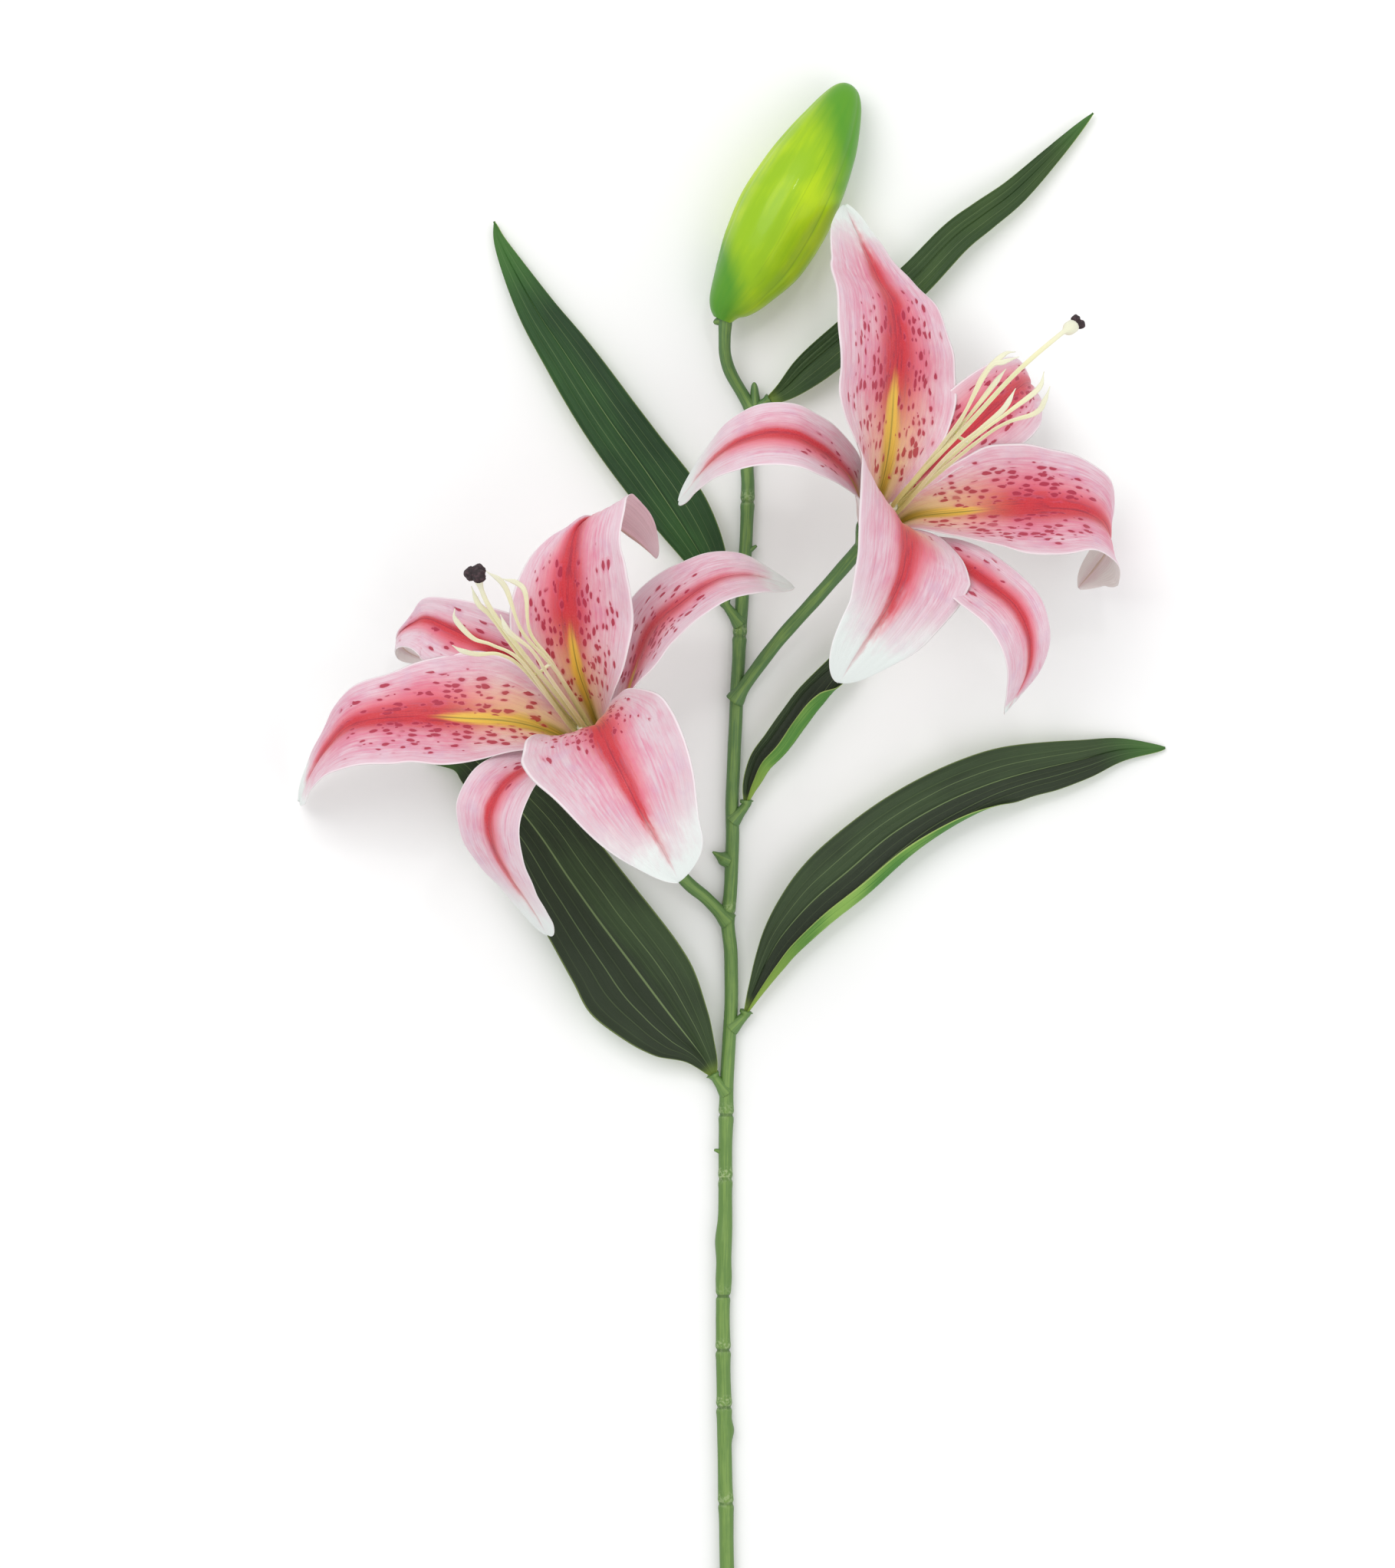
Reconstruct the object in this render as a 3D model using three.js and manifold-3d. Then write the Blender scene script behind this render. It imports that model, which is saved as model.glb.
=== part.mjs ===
// A cut lily spray lying on a flat surface: one green stem with five long leaves, one closed
// bud and two open blooms. Each bloom has three broad inner tepals, three narrow outer tepals,
// a cluster of stamens round a long style, and a dark stigma.
// Units are millimetres. +Z is up, the cut end of the stem points along -Y and the bud along +Y.
// The origin is on the surface, under the middle of the whole spray.

import * as THREE from "three";
import { mergeVertices } from "three/addons/utils/BufferGeometryUtils.js";
import Module from "manifold-3d";

const wasm = await Module();
wasm.setup();

// Driving dimensions

const bladeThickness = 0.7; // leaves and tepals
const seatGap = 0.42; // between a piece and what carries it
const budGap = 0.7;
const tipHalfWidth = 0.5; // a blade's tip is cut this narrow
const stemLength = 491; // from the cut end to the top joint
const stemRadius = [[0, 3], [45, 3], [75, 2.55], [491, 2.2]]; // at distances from the cut end
const stemSides = 8;
const stemHeight = stemRadius[0][1] * Math.cos(Math.PI / stemSides); // one flat side lies on the surface
const nodeDistances = [85, 116, 150, 170, 190, 228, 249, 318, 413, 459]; // along the stem
const nodeSwelling = 0.42;
const nodeReach = 4.5; // half the length of the swollen stretch
const ringOffset = 1.6; // from a node to the crest of its ring on each side
const pedicelRadius = 2.25;
const pedicelSwelling = 0.2; // towards the bloom
const budPedicelRadius = 2.1;
const budPedicelSwelling = 0.6; // where it meets the bud
const stubRadius = 1.9;
const stubTaper = 0.5;
const budletRadius = 1.9;
const budRadius = 16.4;
const budSides = 24;
const budLobes = 3;
const budGroove = 0.9;
const receptacleRadius = 6.2;
const receptacleLength = 14;
const receptacleNeck = 2.4; // its radius where the pedicel enters
const ovaryRadius = 2.3;
const ovaryHeight = 16;
const filamentRadius = 0.8;
const filamentTaper = 0.35; // share of its radius lost towards the tip
const filamentRoots = { reach: 1.2, height: 4 }; // on the ovary
const filamentShoulders = { reach: 3, height: 20 };
const styleRadius = 1.05;
const styleRoot = 10;
const webRadius = 0.64;
const webSag = 2; // how far the bar dips where it meets the style

const bladeSteps = { rows: 16, columns: 7 };
const leafSteps = { rows: 20, columns: 7 };
const sectionSamples = 48; // a blade's cross-section is summed from this many short pieces
const rowCrowding = 0.06; // how far a blade's rows gather towards its ends
const curveSamples = 400;
const shortestStation = 0.5; // stem sections closer than this are left out
const mergeDistance = 1e-4;

// Colours and finishes

const stemFinish = new THREE.MeshStandardMaterial({ color: 0x5f9043, roughness: 0.5, metalness: 0 });
const leafFinish = new THREE.MeshStandardMaterial({ color: 0x2f5230, roughness: 0.55, metalness: 0 });
const budFinish = new THREE.MeshStandardMaterial({ color: 0x9cc41c, roughness: 0.35, metalness: 0 });
const tepalFinish = new THREE.MeshStandardMaterial({ color: 0xe58fa8, roughness: 0.7, metalness: 0 });
const stamenFinish = new THREE.MeshStandardMaterial({ color: 0xdfe0a0, roughness: 0.75, metalness: 0 });
const stigmaFinish = new THREE.MeshStandardMaterial({ color: 0x2a1c20, roughness: 0.6, metalness: 0 });

// Shared helpers

const { clamp, degToRad, smoothstep } = THREE.MathUtils;

// A value that runs smoothly between [position, value] pairs, or one number all along.
function valueAt(pairs, v) {
  if (!Array.isArray(pairs)) return pairs;
  let k = 0;
  while (k < pairs.length - 2 && v >= pairs[k + 1][0]) k += 1;
  const [from, to] = [pairs[k], pairs[k + 1]];
  return from[1] + (to[1] - from[1]) * smoothstep(v, from[0], to[0]);
}

// Places along a smooth curve through the points, each with its direction, a side vector that
// turns only as the curve bends, and the normal of the two.
function framedPath(points, positions, firstSide) {
  const curve = new THREE.CatmullRomCurve3(points, false, "catmullrom", 0.5);
  curve.arcLengthDivisions = curveSamples;
  const centres = positions.map((v) => curve.getPointAt(clamp(v, 0, 1)));
  const side = firstSide.clone();
  return centres.map((centre, i) => {
    const before = centres[Math.max(i - 1, 0)];
    const after = centres[Math.min(i + 1, centres.length - 1)];
    const along = after.clone().sub(before).normalize();
    side.addScaledVector(along, -side.dot(along)).normalize();
    const normal = along.clone().cross(side);
    return { centre, along, side: side.clone(), normal };
  });
}

function geometryFrom(vertices, triangles) {
  const geometry = new THREE.BufferGeometry();
  const flat = vertices.flatMap((vertex) => [vertex.x, vertex.y, vertex.z]);
  geometry.setAttribute("position", new THREE.Float32BufferAttribute(flat, 3));
  geometry.setIndex(triangles.flat());
  return geometry;
}

function solidFrom(geometry) {
  const bare = geometry.clone();
  bare.deleteAttribute("normal");
  bare.deleteAttribute("uv");
  const merged = mergeVertices(bare, mergeDistance);
  return new wasm.Manifold(
    new wasm.Mesh({
      numProp: 3,
      vertProperties: merged.attributes.position.array,
      triVerts: new Uint32Array(merged.index.array),
    }),
  );
}

// One closed body made of several that reach into each other.
function joined(geometries) {
  const solids = geometries.map(solidFrom);
  const mesh = solids.reduce((whole, solid) => whole.add(solid)).getMesh();
  const geometry = new THREE.BufferGeometry();
  geometry.setAttribute("position", new THREE.BufferAttribute(mesh.vertProperties, 3));
  geometry.setIndex(new THREE.BufferAttribute(mesh.triVerts, 1));
  return geometry;
}

function named(name, geometry, material) {
  const shown = geometry.toNonIndexed();
  shown.computeVertexNormals();
  const mesh = new THREE.Mesh(shown, material);
  mesh.name = name;
  return mesh;
}

// A closed rod along a curve. Its radius may change along it, and one of its flat sides faces
// against the starting normal.
function rodGeometry({ points, positions, radius, sides, firstSide, shape = () => 1 }) {
  const rows = framedPath(points, positions, firstSide);
  const vertices = [];
  rows.forEach(({ centre, side, normal }, i) => {
    for (let k = 0; k < sides; k += 1) {
      const angle = ((k + 0.5) / sides) * 2 * Math.PI - Math.PI / 2;
      const reach = radius(positions[i]) * shape(angle, positions[i]);
      const vertex = centre.clone().addScaledVector(side, reach * Math.cos(angle));
      vertices.push(vertex.addScaledVector(normal, reach * Math.sin(angle)));
    }
  });
  const triangles = [];
  for (let i = 0; i < rows.length - 1; i += 1) {
    for (let k = 0; k < sides; k += 1) {
      const [a, b] = [i * sides + k, i * sides + ((k + 1) % sides)];
      triangles.push([a, b + sides, b], [a, a + sides, b + sides]);
    }
  }
  const first = vertices.push(rows[0].centre) - 1;
  const last = vertices.push(rows.at(-1).centre) - 1;
  const top = (rows.length - 1) * sides;
  for (let k = 0; k < sides; k += 1) {
    const next = (k + 1) % sides;
    triangles.push([first, k, next], [last, top + next, top + k]);
  }
  return geometryFrom(vertices, triangles.map(([a, b, c]) => [a, c, b]));
}

function evenSteps(count) {
  return Array.from({ length: count + 1 }, (_, i) => i / count);
}

// Rows closer together towards both ends, where a blade changes fastest.
function bladePositions(rows) {
  return evenSteps(rows - 1).map((s) => s - rowCrowding * Math.sin(2 * Math.PI * s));
}

// Half the width of a blade: a narrow foot that fades out, and a swell that peaks once.
function halfWidthAt(blade, v) {
  const { foot, half, peak, rise, fall } = blade;
  const swell =
    v < peak
      ? Math.sin((Math.PI / 2) * (v / peak)) ** rise
      : Math.max(Math.cos((Math.PI / 2) * ((v - peak) / (1 - peak))), 0) ** fall;
  return foot * (1 - smoothstep(v, 0, 0.5)) + half * swell;
}

// The cross-section of a blade at v: how far sideways and how far along the normal each column
// lies. The surface turns by the cup angle from the middle out to each margin.
function sectionAt(blade, v, columns) {
  const half = halfWidthAt(blade, v);
  const widths = [blade.left ?? 1, blade.right ?? 1].map((share) =>
    Math.max(half * valueAt(share, v), tipHalfWidth),
  );
  const cup = degToRad(valueAt(blade.cup, v));
  const groove = blade.groove * smoothstep(v, 0, 0.08) * smoothstep(1 - v, 0, 0.1);
  const middle = sectionSamples / 2;
  const sideways = [0];
  const raised = [0];
  for (let k = 0; k < sectionSamples; k += 1) {
    const [from, to] = [k, k + 1].map((step) => (step - middle) / middle);
    const width = from + to > 0 ? widths[1] : widths[0];
    const turn = (cup * (from + to)) / 2;
    sideways.push(sideways[k] + (width * Math.cos(turn)) / middle);
    raised.push(raised[k] + (width * Math.sin(turn)) / middle);
  }
  return evenSteps(columns - 1).map((s) => {
    const k = Math.round(s * sectionSamples);
    const u = 2 * s - 1;
    const wave = valueAt(blade.wave, v) * Math.abs(u) ** 2.5;
    const beat = 2 * Math.PI * blade.waves * v + (u > 0 ? 0 : 1.9);
    return [
      sideways[k] - sideways[middle],
      raised[k] - raised[middle] + wave * Math.sin(beat) - groove * Math.exp(-((u / 0.1) ** 2)),
    ];
  });
}

// A thin blade with a spine, a width and a bent cross-section. Both faces are split into the
// same triangles, half the thickness to each side of the middle surface.
function bladeGeometry(blade, { rows, columns }) {
  const positions = bladePositions(rows);
  const path = framedPath(blade.points, positions, blade.firstSide);
  const grid = path.map(({ centre, side, normal }, i) => {
    const roll = degToRad(valueAt(blade.roll ?? 0, positions[i]));
    const across = side.clone().multiplyScalar(Math.cos(roll)).addScaledVector(normal, Math.sin(roll));
    const up = normal.clone().multiplyScalar(Math.cos(roll)).addScaledVector(side, -Math.sin(roll));
    return sectionAt(blade, positions[i], columns).map(([sideways, raised]) =>
      centre.clone().addScaledVector(across, sideways).addScaledVector(up, raised),
    );
  });
  const faces = [1, -1].map((face) =>
    grid.flatMap((row, i) =>
      row.map((point, j) => {
        const before = grid[Math.max(i - 1, 0)][j];
        const along = grid[Math.min(i + 1, rows - 1)][j].clone().sub(before);
        const across = row[Math.min(j + 1, columns - 1)].clone().sub(row[Math.max(j - 1, 0)]);
        const normal = along.cross(across).normalize();
        return point.clone().addScaledVector(normal, (face * bladeThickness) / 2);
      }),
    ),
  );
  const lower = rows * columns;
  const triangles = [];
  for (let i = 0; i < rows - 1; i += 1) {
    for (let j = 0; j < columns - 1; j += 1) {
      const [a, b] = [i * columns + j, i * columns + j + 1];
      const [c, d] = [b + columns, a + columns];
      triangles.push([a, c, b], [a, d, c]);
      triangles.push([a, b, c].map((k) => k + lower), [a, c, d].map((k) => k + lower));
    }
  }
  for (const [a, b] of rimEdges(rows, columns)) {
    triangles.push([a, b, b + lower], [a, b + lower, a + lower]);
  }
  return geometryFrom(faces.flat(), triangles);
}

// The border of a grid, as pairs of neighbours in one turning direction.
function rimEdges(rows, columns) {
  const rim = [];
  for (let j = 0; j < columns - 1; j += 1) rim.push(j);
  for (let i = 0; i < rows - 1; i += 1) rim.push(i * columns + columns - 1);
  for (let j = columns - 1; j > 0; j -= 1) rim.push((rows - 1) * columns + j);
  for (let i = rows - 1; i > 0; i -= 1) rim.push(i * columns);
  return rim.map((a, k) => [a, rim[(k + 1) % rim.length]]);
}

const toVector = ([x, y, z]) => new THREE.Vector3(x, y, z);

// Blooms
// A bloom stands on the end of its pedicel. Its axis leans from the vertical by tilt, towards
// heading, which is counted from +X. Tepals and stamens are given in the bloom's own frame.

const innerTepal = {
  half: 21, foot: 3.1, peak: 0.52, rise: 1.5, fall: 0.7,
  cup: [[0, 50], [0.12, 56], [0.22, 50], [0.45, 18], [1, 8]],
  groove: 0.8, wave: [[0, 0], [0.3, 0.4], [1, 0.8]], waves: 3,
};
const outerTepal = {
  half: 15, foot: 3.6, peak: 0.5, rise: 1.25, fall: 0.75,
  cup: [[0, 40], [0.15, 40], [0.5, 14], [1, 10]],
  groove: 0.6, wave: [[0, 0], [0.3, 0.4], [1, 0.8]], waves: 3,
};

// Each tepal's line lists [distance out from the axis, height, turn from its azimuth].
const leftBloom = {
  name: "left", base: [-43.8, 72.5, 33.5], heading: 125.3, tilt: 45,
  tepals: [
    {
      ...innerTepal, name: "inner_tepal_1", azimuth: 60, half: 22,
      left: [[0, 1], [0.35, 1.02], [0.55, 0.75], [0.75, 0.6], [1, 0.9]],
      roll: [[0, 0], [0.2, -14], [0.45, -10], [0.8, 0], [1, 0]],
      line: [[3.4, 0, 0], [9, 14, 0], [19, 25, 0], [34, 33, 0], [52, 40, 0], [71, 44, 0], [86, 35, 0],
        [98, 23, 0], [108, 7.5, 0]],
    },
    {
      ...innerTepal, name: "inner_tepal_2", azimuth: 180, half: 22,
      line: [[3.4, 0, 0], [8, 15, 8], [16, 28, 12], [28, 38, 12], [43, 42, 5], [57, 39, 2], [67, 31, 0],
        [75, 20, -1], [79, 8, -2]],
    },
    {
      ...innerTepal, name: "inner_tepal_3", azimuth: 300, half: 22, peak: 0.48,
      right: [[0, 1], [0.35, 0.95], [0.55, 0.6], [0.7, 0.6], [1, 1]],
      roll: [[0, 0], [0.2, 14], [0.4, 20], [0.7, 5], [1, 0]],
      line: [[3.4, 0, 0], [7, 16, 0], [12, 34, 0], [20, 52, 0], [30, 64, 1], [42, 68, 4], [52, 68, 4],
        [61, 64, 3], [67, 56, 2], [68, 45, 0], [61, 33, -4]],
    },
    {
      ...outerTepal, name: "outer_tepal_1", azimuth: 0, half: 14, left: 1.3, right: 0.6,
      roll: [[0, 0], [0.3, 0], [0.6, -12], [1, -15]],
      line: [[5.6, 0, 0], [10, 13, 6], [16, 25, 14], [25, 34.7, 23], [37, 40.5, 29], [50, 42.6, 32], [62, 40, 33],
        [71, 31, 33], [74, 22, 33], [69, 16, 33]],
    },
    {
      ...outerTepal, name: "outer_tepal_2", azimuth: 120, half: 16, left: 0.85,
      line: [[5.6, 0, 0], [11, 10, 0], [19, 19, -3], [27, 26, -5], [37, 30, -5], [47, 28, -5], [53, 18, -5],
        [55, 3, -5], [56, -14, -5], [57, -32, -5]],
    },
    {
      ...outerTepal, name: "outer_tepal_3", azimuth: 240, half: 15.5,
      roll: [[0, 0], [0.15, 0], [0.5, 20], [1, 25]],
      line: [[5.6, 0, 0], [12, 11, 6], [21, 20, 19], [31, 28, 26], [42, 35, 28], [55, 39, 27], [67, 39, 26],
        [78, 33, 25], [88, 17, 25]],
    },
  ],
  // Each filament lists [sideways, height, forward] past its root on the ovary.
  filaments: [
    [[4.5, 50, 2.5], [8, 61, 3.5], [14, 66, 4.5], [17.5, 71, 5], [19, 75, 5.5]],
    [[3.5, 55, 0.5], [8, 69, 0.5], [12, 77, 0.5], [13, 88, 1], [11, 92, 1]],
    [[3, 57, 4], [3, 74, 7], [4, 81, 8], [2.5, 88, 9.5]],
    [[-4, 44, 0.5], [-2.5, 66, 1], [-6.5, 86, 2], [-4.5, 96, 2.5]],
    [[-4.5, 45, 2.5], [-4.5, 60, 5], [-10.5, 73, 7], [-10.5, 78, 8.5], [-7, 83, 9.5]],
    [[-1, 45, -3], [-1.5, 62, -5], [1, 76, -6], [0, 84, -5.5]],
  ],
  style: [[1.5, 58, 2.5], [1.5, 80, 5], [-1, 93, 6.5]],
  styleTipRadius: 1.3,
  stigma: { radius: 2.6, lobes: [[1.7, 2.6, 0.6], [-1.5, 3, 0.9], [-0.2, 2.6, -1.6]] },
};

const rightBloom = {
  name: "right", base: [48.6, 147.6, 35.5], heading: 52, tilt: 40,
  tepals: [
    {
      ...innerTepal, name: "inner_tepal_1", azimuth: 60, half: 21.5,
      right: [[0, 1], [0.3, 1.3], [0.7, 1.3], [1, 1]],
      line: [[3.4, 0, 0], [8, 14, -4], [16, 26, -8], [30, 38, -11], [43, 48, -12], [57, 52, -13],
        [69, 49, -13], [81, 47, -13], [93, 44, -14], [105, 42, -15]],
    },
    {
      ...innerTepal, name: "inner_tepal_2", azimuth: 180, half: 23,
      line: [[3.4, 0, 0], [7, 14, 6], [12, 24, 14], [21, 33, 21], [32, 37, 22], [44, 34, 23], [53, 26, 22],
        [61, 16, 20], [68, 4, 18]],
    },
    {
      ...innerTepal, name: "inner_tepal_3", azimuth: 300, half: 21,
      cup: [[0, 50], [0.12, 56], [0.22, 50], [0.45, 28], [1, 8]],
      right: [[0, 1], [0.35, 1.1], [0.7, 1], [1, 1]],
      line: [[3.4, 0, 0], [9, 13, 0], [20, 21, 0], [34, 28, 2], [48, 33, 3], [60, 35, 4], [69, 33, 4],
        [76, 27, 4], [80, 17, 4], [76, 6, 0], [67, 0, -4]],
    },
    {
      ...outerTepal, name: "outer_tepal_1", azimuth: 0, half: 14, left: 0.5, right: 1.1,
      roll: [[0, 0], [0.3, 0], [0.6, 10], [1, 10]],
      line: [[5.6, 0, 0], [10, 13, -2], [18, 22, -5], [30, 30, -8], [43, 34, -8], [57, 34, -8], [68, 29, -8],
        [74, 21.5, -8], [71, 14, -8]],
    },
    {
      ...outerTepal, name: "outer_tepal_2", azimuth: 120, left: 0.85, right: 1.1,
      line: [[5.6, 0, 0], [11, 12, 0], [18, 22, -3], [27, 28, -5], [36, 32, -5], [45, 34, -5], [54, 30, -5],
        [61, 19, -5], [64, 4, -5], [65, -16, -5]],
    },
    {
      ...outerTepal, name: "outer_tepal_3", azimuth: 240, half: 14.5, left: 0.7,
      line: [[5.6, 0, 0], [12, 10, 3], [22, 19, 6], [33, 25, 8], [44, 29, 8], [55, 32, 8], [65, 30, 8],
        [72, 23, 8], [76, 12, 8], [78, -5, 8]],
    },
  ],
  filaments: [
    [[-0.5, 54, 9.5], [3, 72, 18], [2, 80, 24.5], [-0.5, 81, 28]],
    [[0, 60, 7], [3, 82, 13], [0.5, 87, 15], [-2.5, 92, 16.5]],
    [[-1, 43, 7], [-1.5, 62, 14.5], [-1.5, 74, 26]],
    [[-6.5, 52, 9], [-11, 69, 16], [-14, 79, 23], [-12, 82, 28]],
    [[-10.5, 65, 8], [-18, 80, 12], [-18, 86, 13.5], [-16.5, 91, 15.5]],
    [[-4, 50, 1], [-7, 68, 3], [-9, 80, 5], [-8, 88, 8]],
  ],
  style: [[-3, 59, 10], [-5, 81, 20.5], [-8.5, 92, 35], [-10, 91, 42.5]],
  styleTipRadius: 1.9,
  stigma: { radius: 1.5, lobes: [[0.9, 1.6, 0.5], [-0.9, 1.6, 0.5], [0, 1.6, -1]] },
};

// The bloom's axis, the direction its axis leans to across it, and the third direction.
function bloomFrame({ base, heading, tilt }) {
  const [turn, lean] = [degToRad(heading), degToRad(tilt)];
  const level = new THREE.Vector3(Math.cos(turn), Math.sin(turn), 0);
  const axis = level.clone().multiplyScalar(Math.sin(lean)).setZ(Math.cos(lean));
  const forward = level.clone().multiplyScalar(Math.cos(lean)).setZ(-Math.sin(lean));
  return { origin: toVector(base), axis, forward, sideways: axis.clone().cross(forward) };
}

function inBloom(frame, sideways, height, forward) {
  return frame.origin
    .clone()
    .addScaledVector(frame.sideways, sideways)
    .addScaledVector(frame.axis, height)
    .addScaledVector(frame.forward, forward);
}

function tepalGeometry(frame, tepal) {
  const points = tepal.line.map(([out, height, turn]) => {
    const angle = degToRad(tepal.azimuth + turn);
    return inBloom(frame, out * Math.sin(angle), height, out * Math.cos(angle));
  });
  const outward = points[0].clone().sub(frame.origin);
  const firstSide = frame.axis.clone().cross(outward).normalize();
  return bladeGeometry({ ...tepal, points, firstSide }, bladeSteps);
}

// Six filaments and the style, rooted in the ovary, as one body.
function stamenGeometry(frame, bloom) {
  const rod = (places, radius, sides, steps) =>
    rodGeometry({
      points: places.map(([across, height, forward]) => inBloom(frame, across, height, forward)),
      positions: evenSteps(steps),
      radius,
      sides,
      firstSide: frame.sideways,
    });
  const ovary = rod(
    [[0, seatGap, 0], [0, ovaryHeight / 2, 0], [0, ovaryHeight, 0]],
    (v) => ovaryRadius * (1 - 0.4 * v * v),
    8,
    4,
  );
  const style = rod(
    [[0, styleRoot, 0], [0, styleRoot + ovaryHeight, 0], ...bloom.style],
    (v) => styleRadius + (bloom.styleTipRadius - styleRadius) * smoothstep(v, 0.88, 0.99),
    6,
    16,
  );
  const filaments = bloom.filaments.map((places) => {
    const [across, , forward] = places[0];
    const spread = Math.hypot(across, forward);
    const [root, shoulder] = [filamentRoots, filamentShoulders].map(({ reach, height }) => [
      (across / spread) * reach,
      height,
      (forward / spread) * reach,
    ]);
    return rod([root, shoulder, ...places], (v) => filamentRadius * (1 - filamentTaper * v), 5, 10);
  });
  return joined([ovary, style, ...filaments, webGeometry(frame, bloom)]);
}

// A thin moulded bar that links two neighbouring filaments and the style.
function webGeometry(frame, bloom) {
  const [first, , , fourth] = bloom.filaments.map((places) => places[0]);
  const height = (first[1] + fourth[1]) / 2;
  const ends = [first, fourth].map(([across, , forward]) => inBloom(frame, across, height, forward));
  const middle = inBloom(frame, bloom.style[0][0], height - webSag, bloom.style[0][2]);
  return rodGeometry({
    points: [ends[0], middle, ends[1]],
    positions: evenSteps(6),
    radius: () => webRadius,
    sides: 5,
    firstSide: frame.axis,
  });
}

function ballGeometry(centre, radius) {
  const ball = new THREE.SphereGeometry(radius, 7, 5);
  ball.translate(centre.x, centre.y, centre.z);
  return ball;
}

// The lobed stigma, just clear of the end of the style.
function stigmaGeometry(frame, { style, stigma }) {
  const [before, end] = style.slice(-2).map((place) => inBloom(frame, ...place));
  const along = end.clone().sub(before).normalize();
  const across = along.clone().cross(frame.axis).normalize();
  const up = across.clone().cross(along);
  const seat = end.clone().addScaledVector(along, 2 * seatGap);
  return joined(
    stigma.lobes.map(([sideways, ahead, raised]) => {
      const centre = seat.clone().addScaledVector(across, sideways).addScaledVector(up, raised);
      return ballGeometry(centre.addScaledVector(along, ahead), stigma.radius);
    }),
  );
}

function bloomMeshes(bloom) {
  const frame = bloomFrame(bloom);
  const group = new THREE.Group();
  for (const tepal of bloom.tepals) {
    group.add(named(`${bloom.name}_${tepal.name}`, tepalGeometry(frame, tepal), tepalFinish));
  }
  group.add(named(`${bloom.name}_stamens`, stamenGeometry(frame, bloom), stamenFinish));
  group.add(named(`${bloom.name}_stigma`, stigmaGeometry(frame, bloom), stigmaFinish));
  return group;
}

// Leaves
// Each leaf's spine starts just past its stub on the stem and runs out low over the surface.

const plainLeaf = {
  foot: 1.6, peak: 0.45, rise: 0.8, fall: 0.75, groove: 0.5, wave: [[0, 0], [0.4, 0.5], [1, 0.6]], waves: 2,
  cup: [[0, 60], [0.12, 25], [1, 12]],
};

const leaves = [
  {
    ...plainLeaf, name: "leaf_upper_left", half: 10, peak: 0.42, stubRoot: [3.6, 117, 3.2],
    spine: [[-1.6, 124, 5.6], [-5.4, 132, 6.5], [-13.5, 146, 7], [-27.4, 167, 7], [-41.6, 187, 7],
      [-55.7, 208.4, 6], [-66.5, 224.7, 5], [-77.6, 245.3, 3], [-80.7, 254.6, 2]],
  },
  {
    ...plainLeaf, name: "leaf_upper_right", half: 6.6, peak: 0.4, rise: 0.7, fall: 0.7,
    stubRoot: [8.6, 189.5, 3.2],
    spine: [[13, 193.2, 5], [18.5, 197, 6.5], [25.2, 203.5, 8], [33.6, 210.6, 8], [49.3, 223.6, 8.5],
      [62.4, 234.4, 8.5], [76.3, 248.6, 8], [86.3, 256.3, 7], [95.5, 265.5, 6], [107.6, 278, 4],
      [123.8, 291.6, 2]],
  },
  {
    ...plainLeaf, name: "leaf_middle_right", half: 6.2, peak: 0.35, rise: 0.6, fall: 0.7,
    stubRoot: [0.9, 49.5, 3],
    spine: [[5.4, 55.8, 4.8], [7, 62.5, 6], [10.3, 69.8, 7], [15.5, 76.5, 8], [21.3, 84.6, 8],
      [27.5, 93, 8], [36.5, 102, 8], [46.7, 112.4, 7], [57.2, 125.6, 6]],
  },
  {
    ...plainLeaf, name: "leaf_lower_right", half: 11, peak: 0.38, fall: 0.5, stubRoot: [0.4, -21.5, 2.8],
    spine: [[5.2, -16.2, 4.2], [8.3, -8, 6], [13, 2.5, 7], [18.5, 11.3, 7.5], [28.4, 22.3, 8],
      [40.4, 32.5, 8], [55.3, 45, 8], [71.6, 54.8, 8], [87.3, 61.6, 8], [102.5, 66.3, 7],
      [120.1, 70.5, 5], [134, 73.9, 2.5], [149.2, 74.5, 0.6]],
  },
  {
    ...plainLeaf, name: "leaf_lower_left", half: 18, peak: 0.32, rise: 0.5, fall: 0.6,
    stubRoot: [-1, -43.5, 2.8],
    spine: [[-5.4, -37.6, 4.4], [-10.5, -29.5, 7], [-21.7, -15.1, 8], [-32.9, -0.2, 8], [-45.2, 16.1, 8],
      [-55.4, 30.5, 8], [-64.9, 44.6, 8], [-75.1, 57.4, 8], [-84.5, 68, 6.5], [-92.5, 72.5, 4],
      [-104.5, 71, 1]],
  },
];

function leafGeometry(leaf) {
  const points = leaf.spine.map(toVector);
  const run = points[1].clone().sub(points[0]).setZ(0);
  const firstSide = new THREE.Vector3(0, 0, 1).cross(run).normalize();
  return bladeGeometry({ ...leaf, points, firstSide }, leafSteps);
}

// Stem

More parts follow.
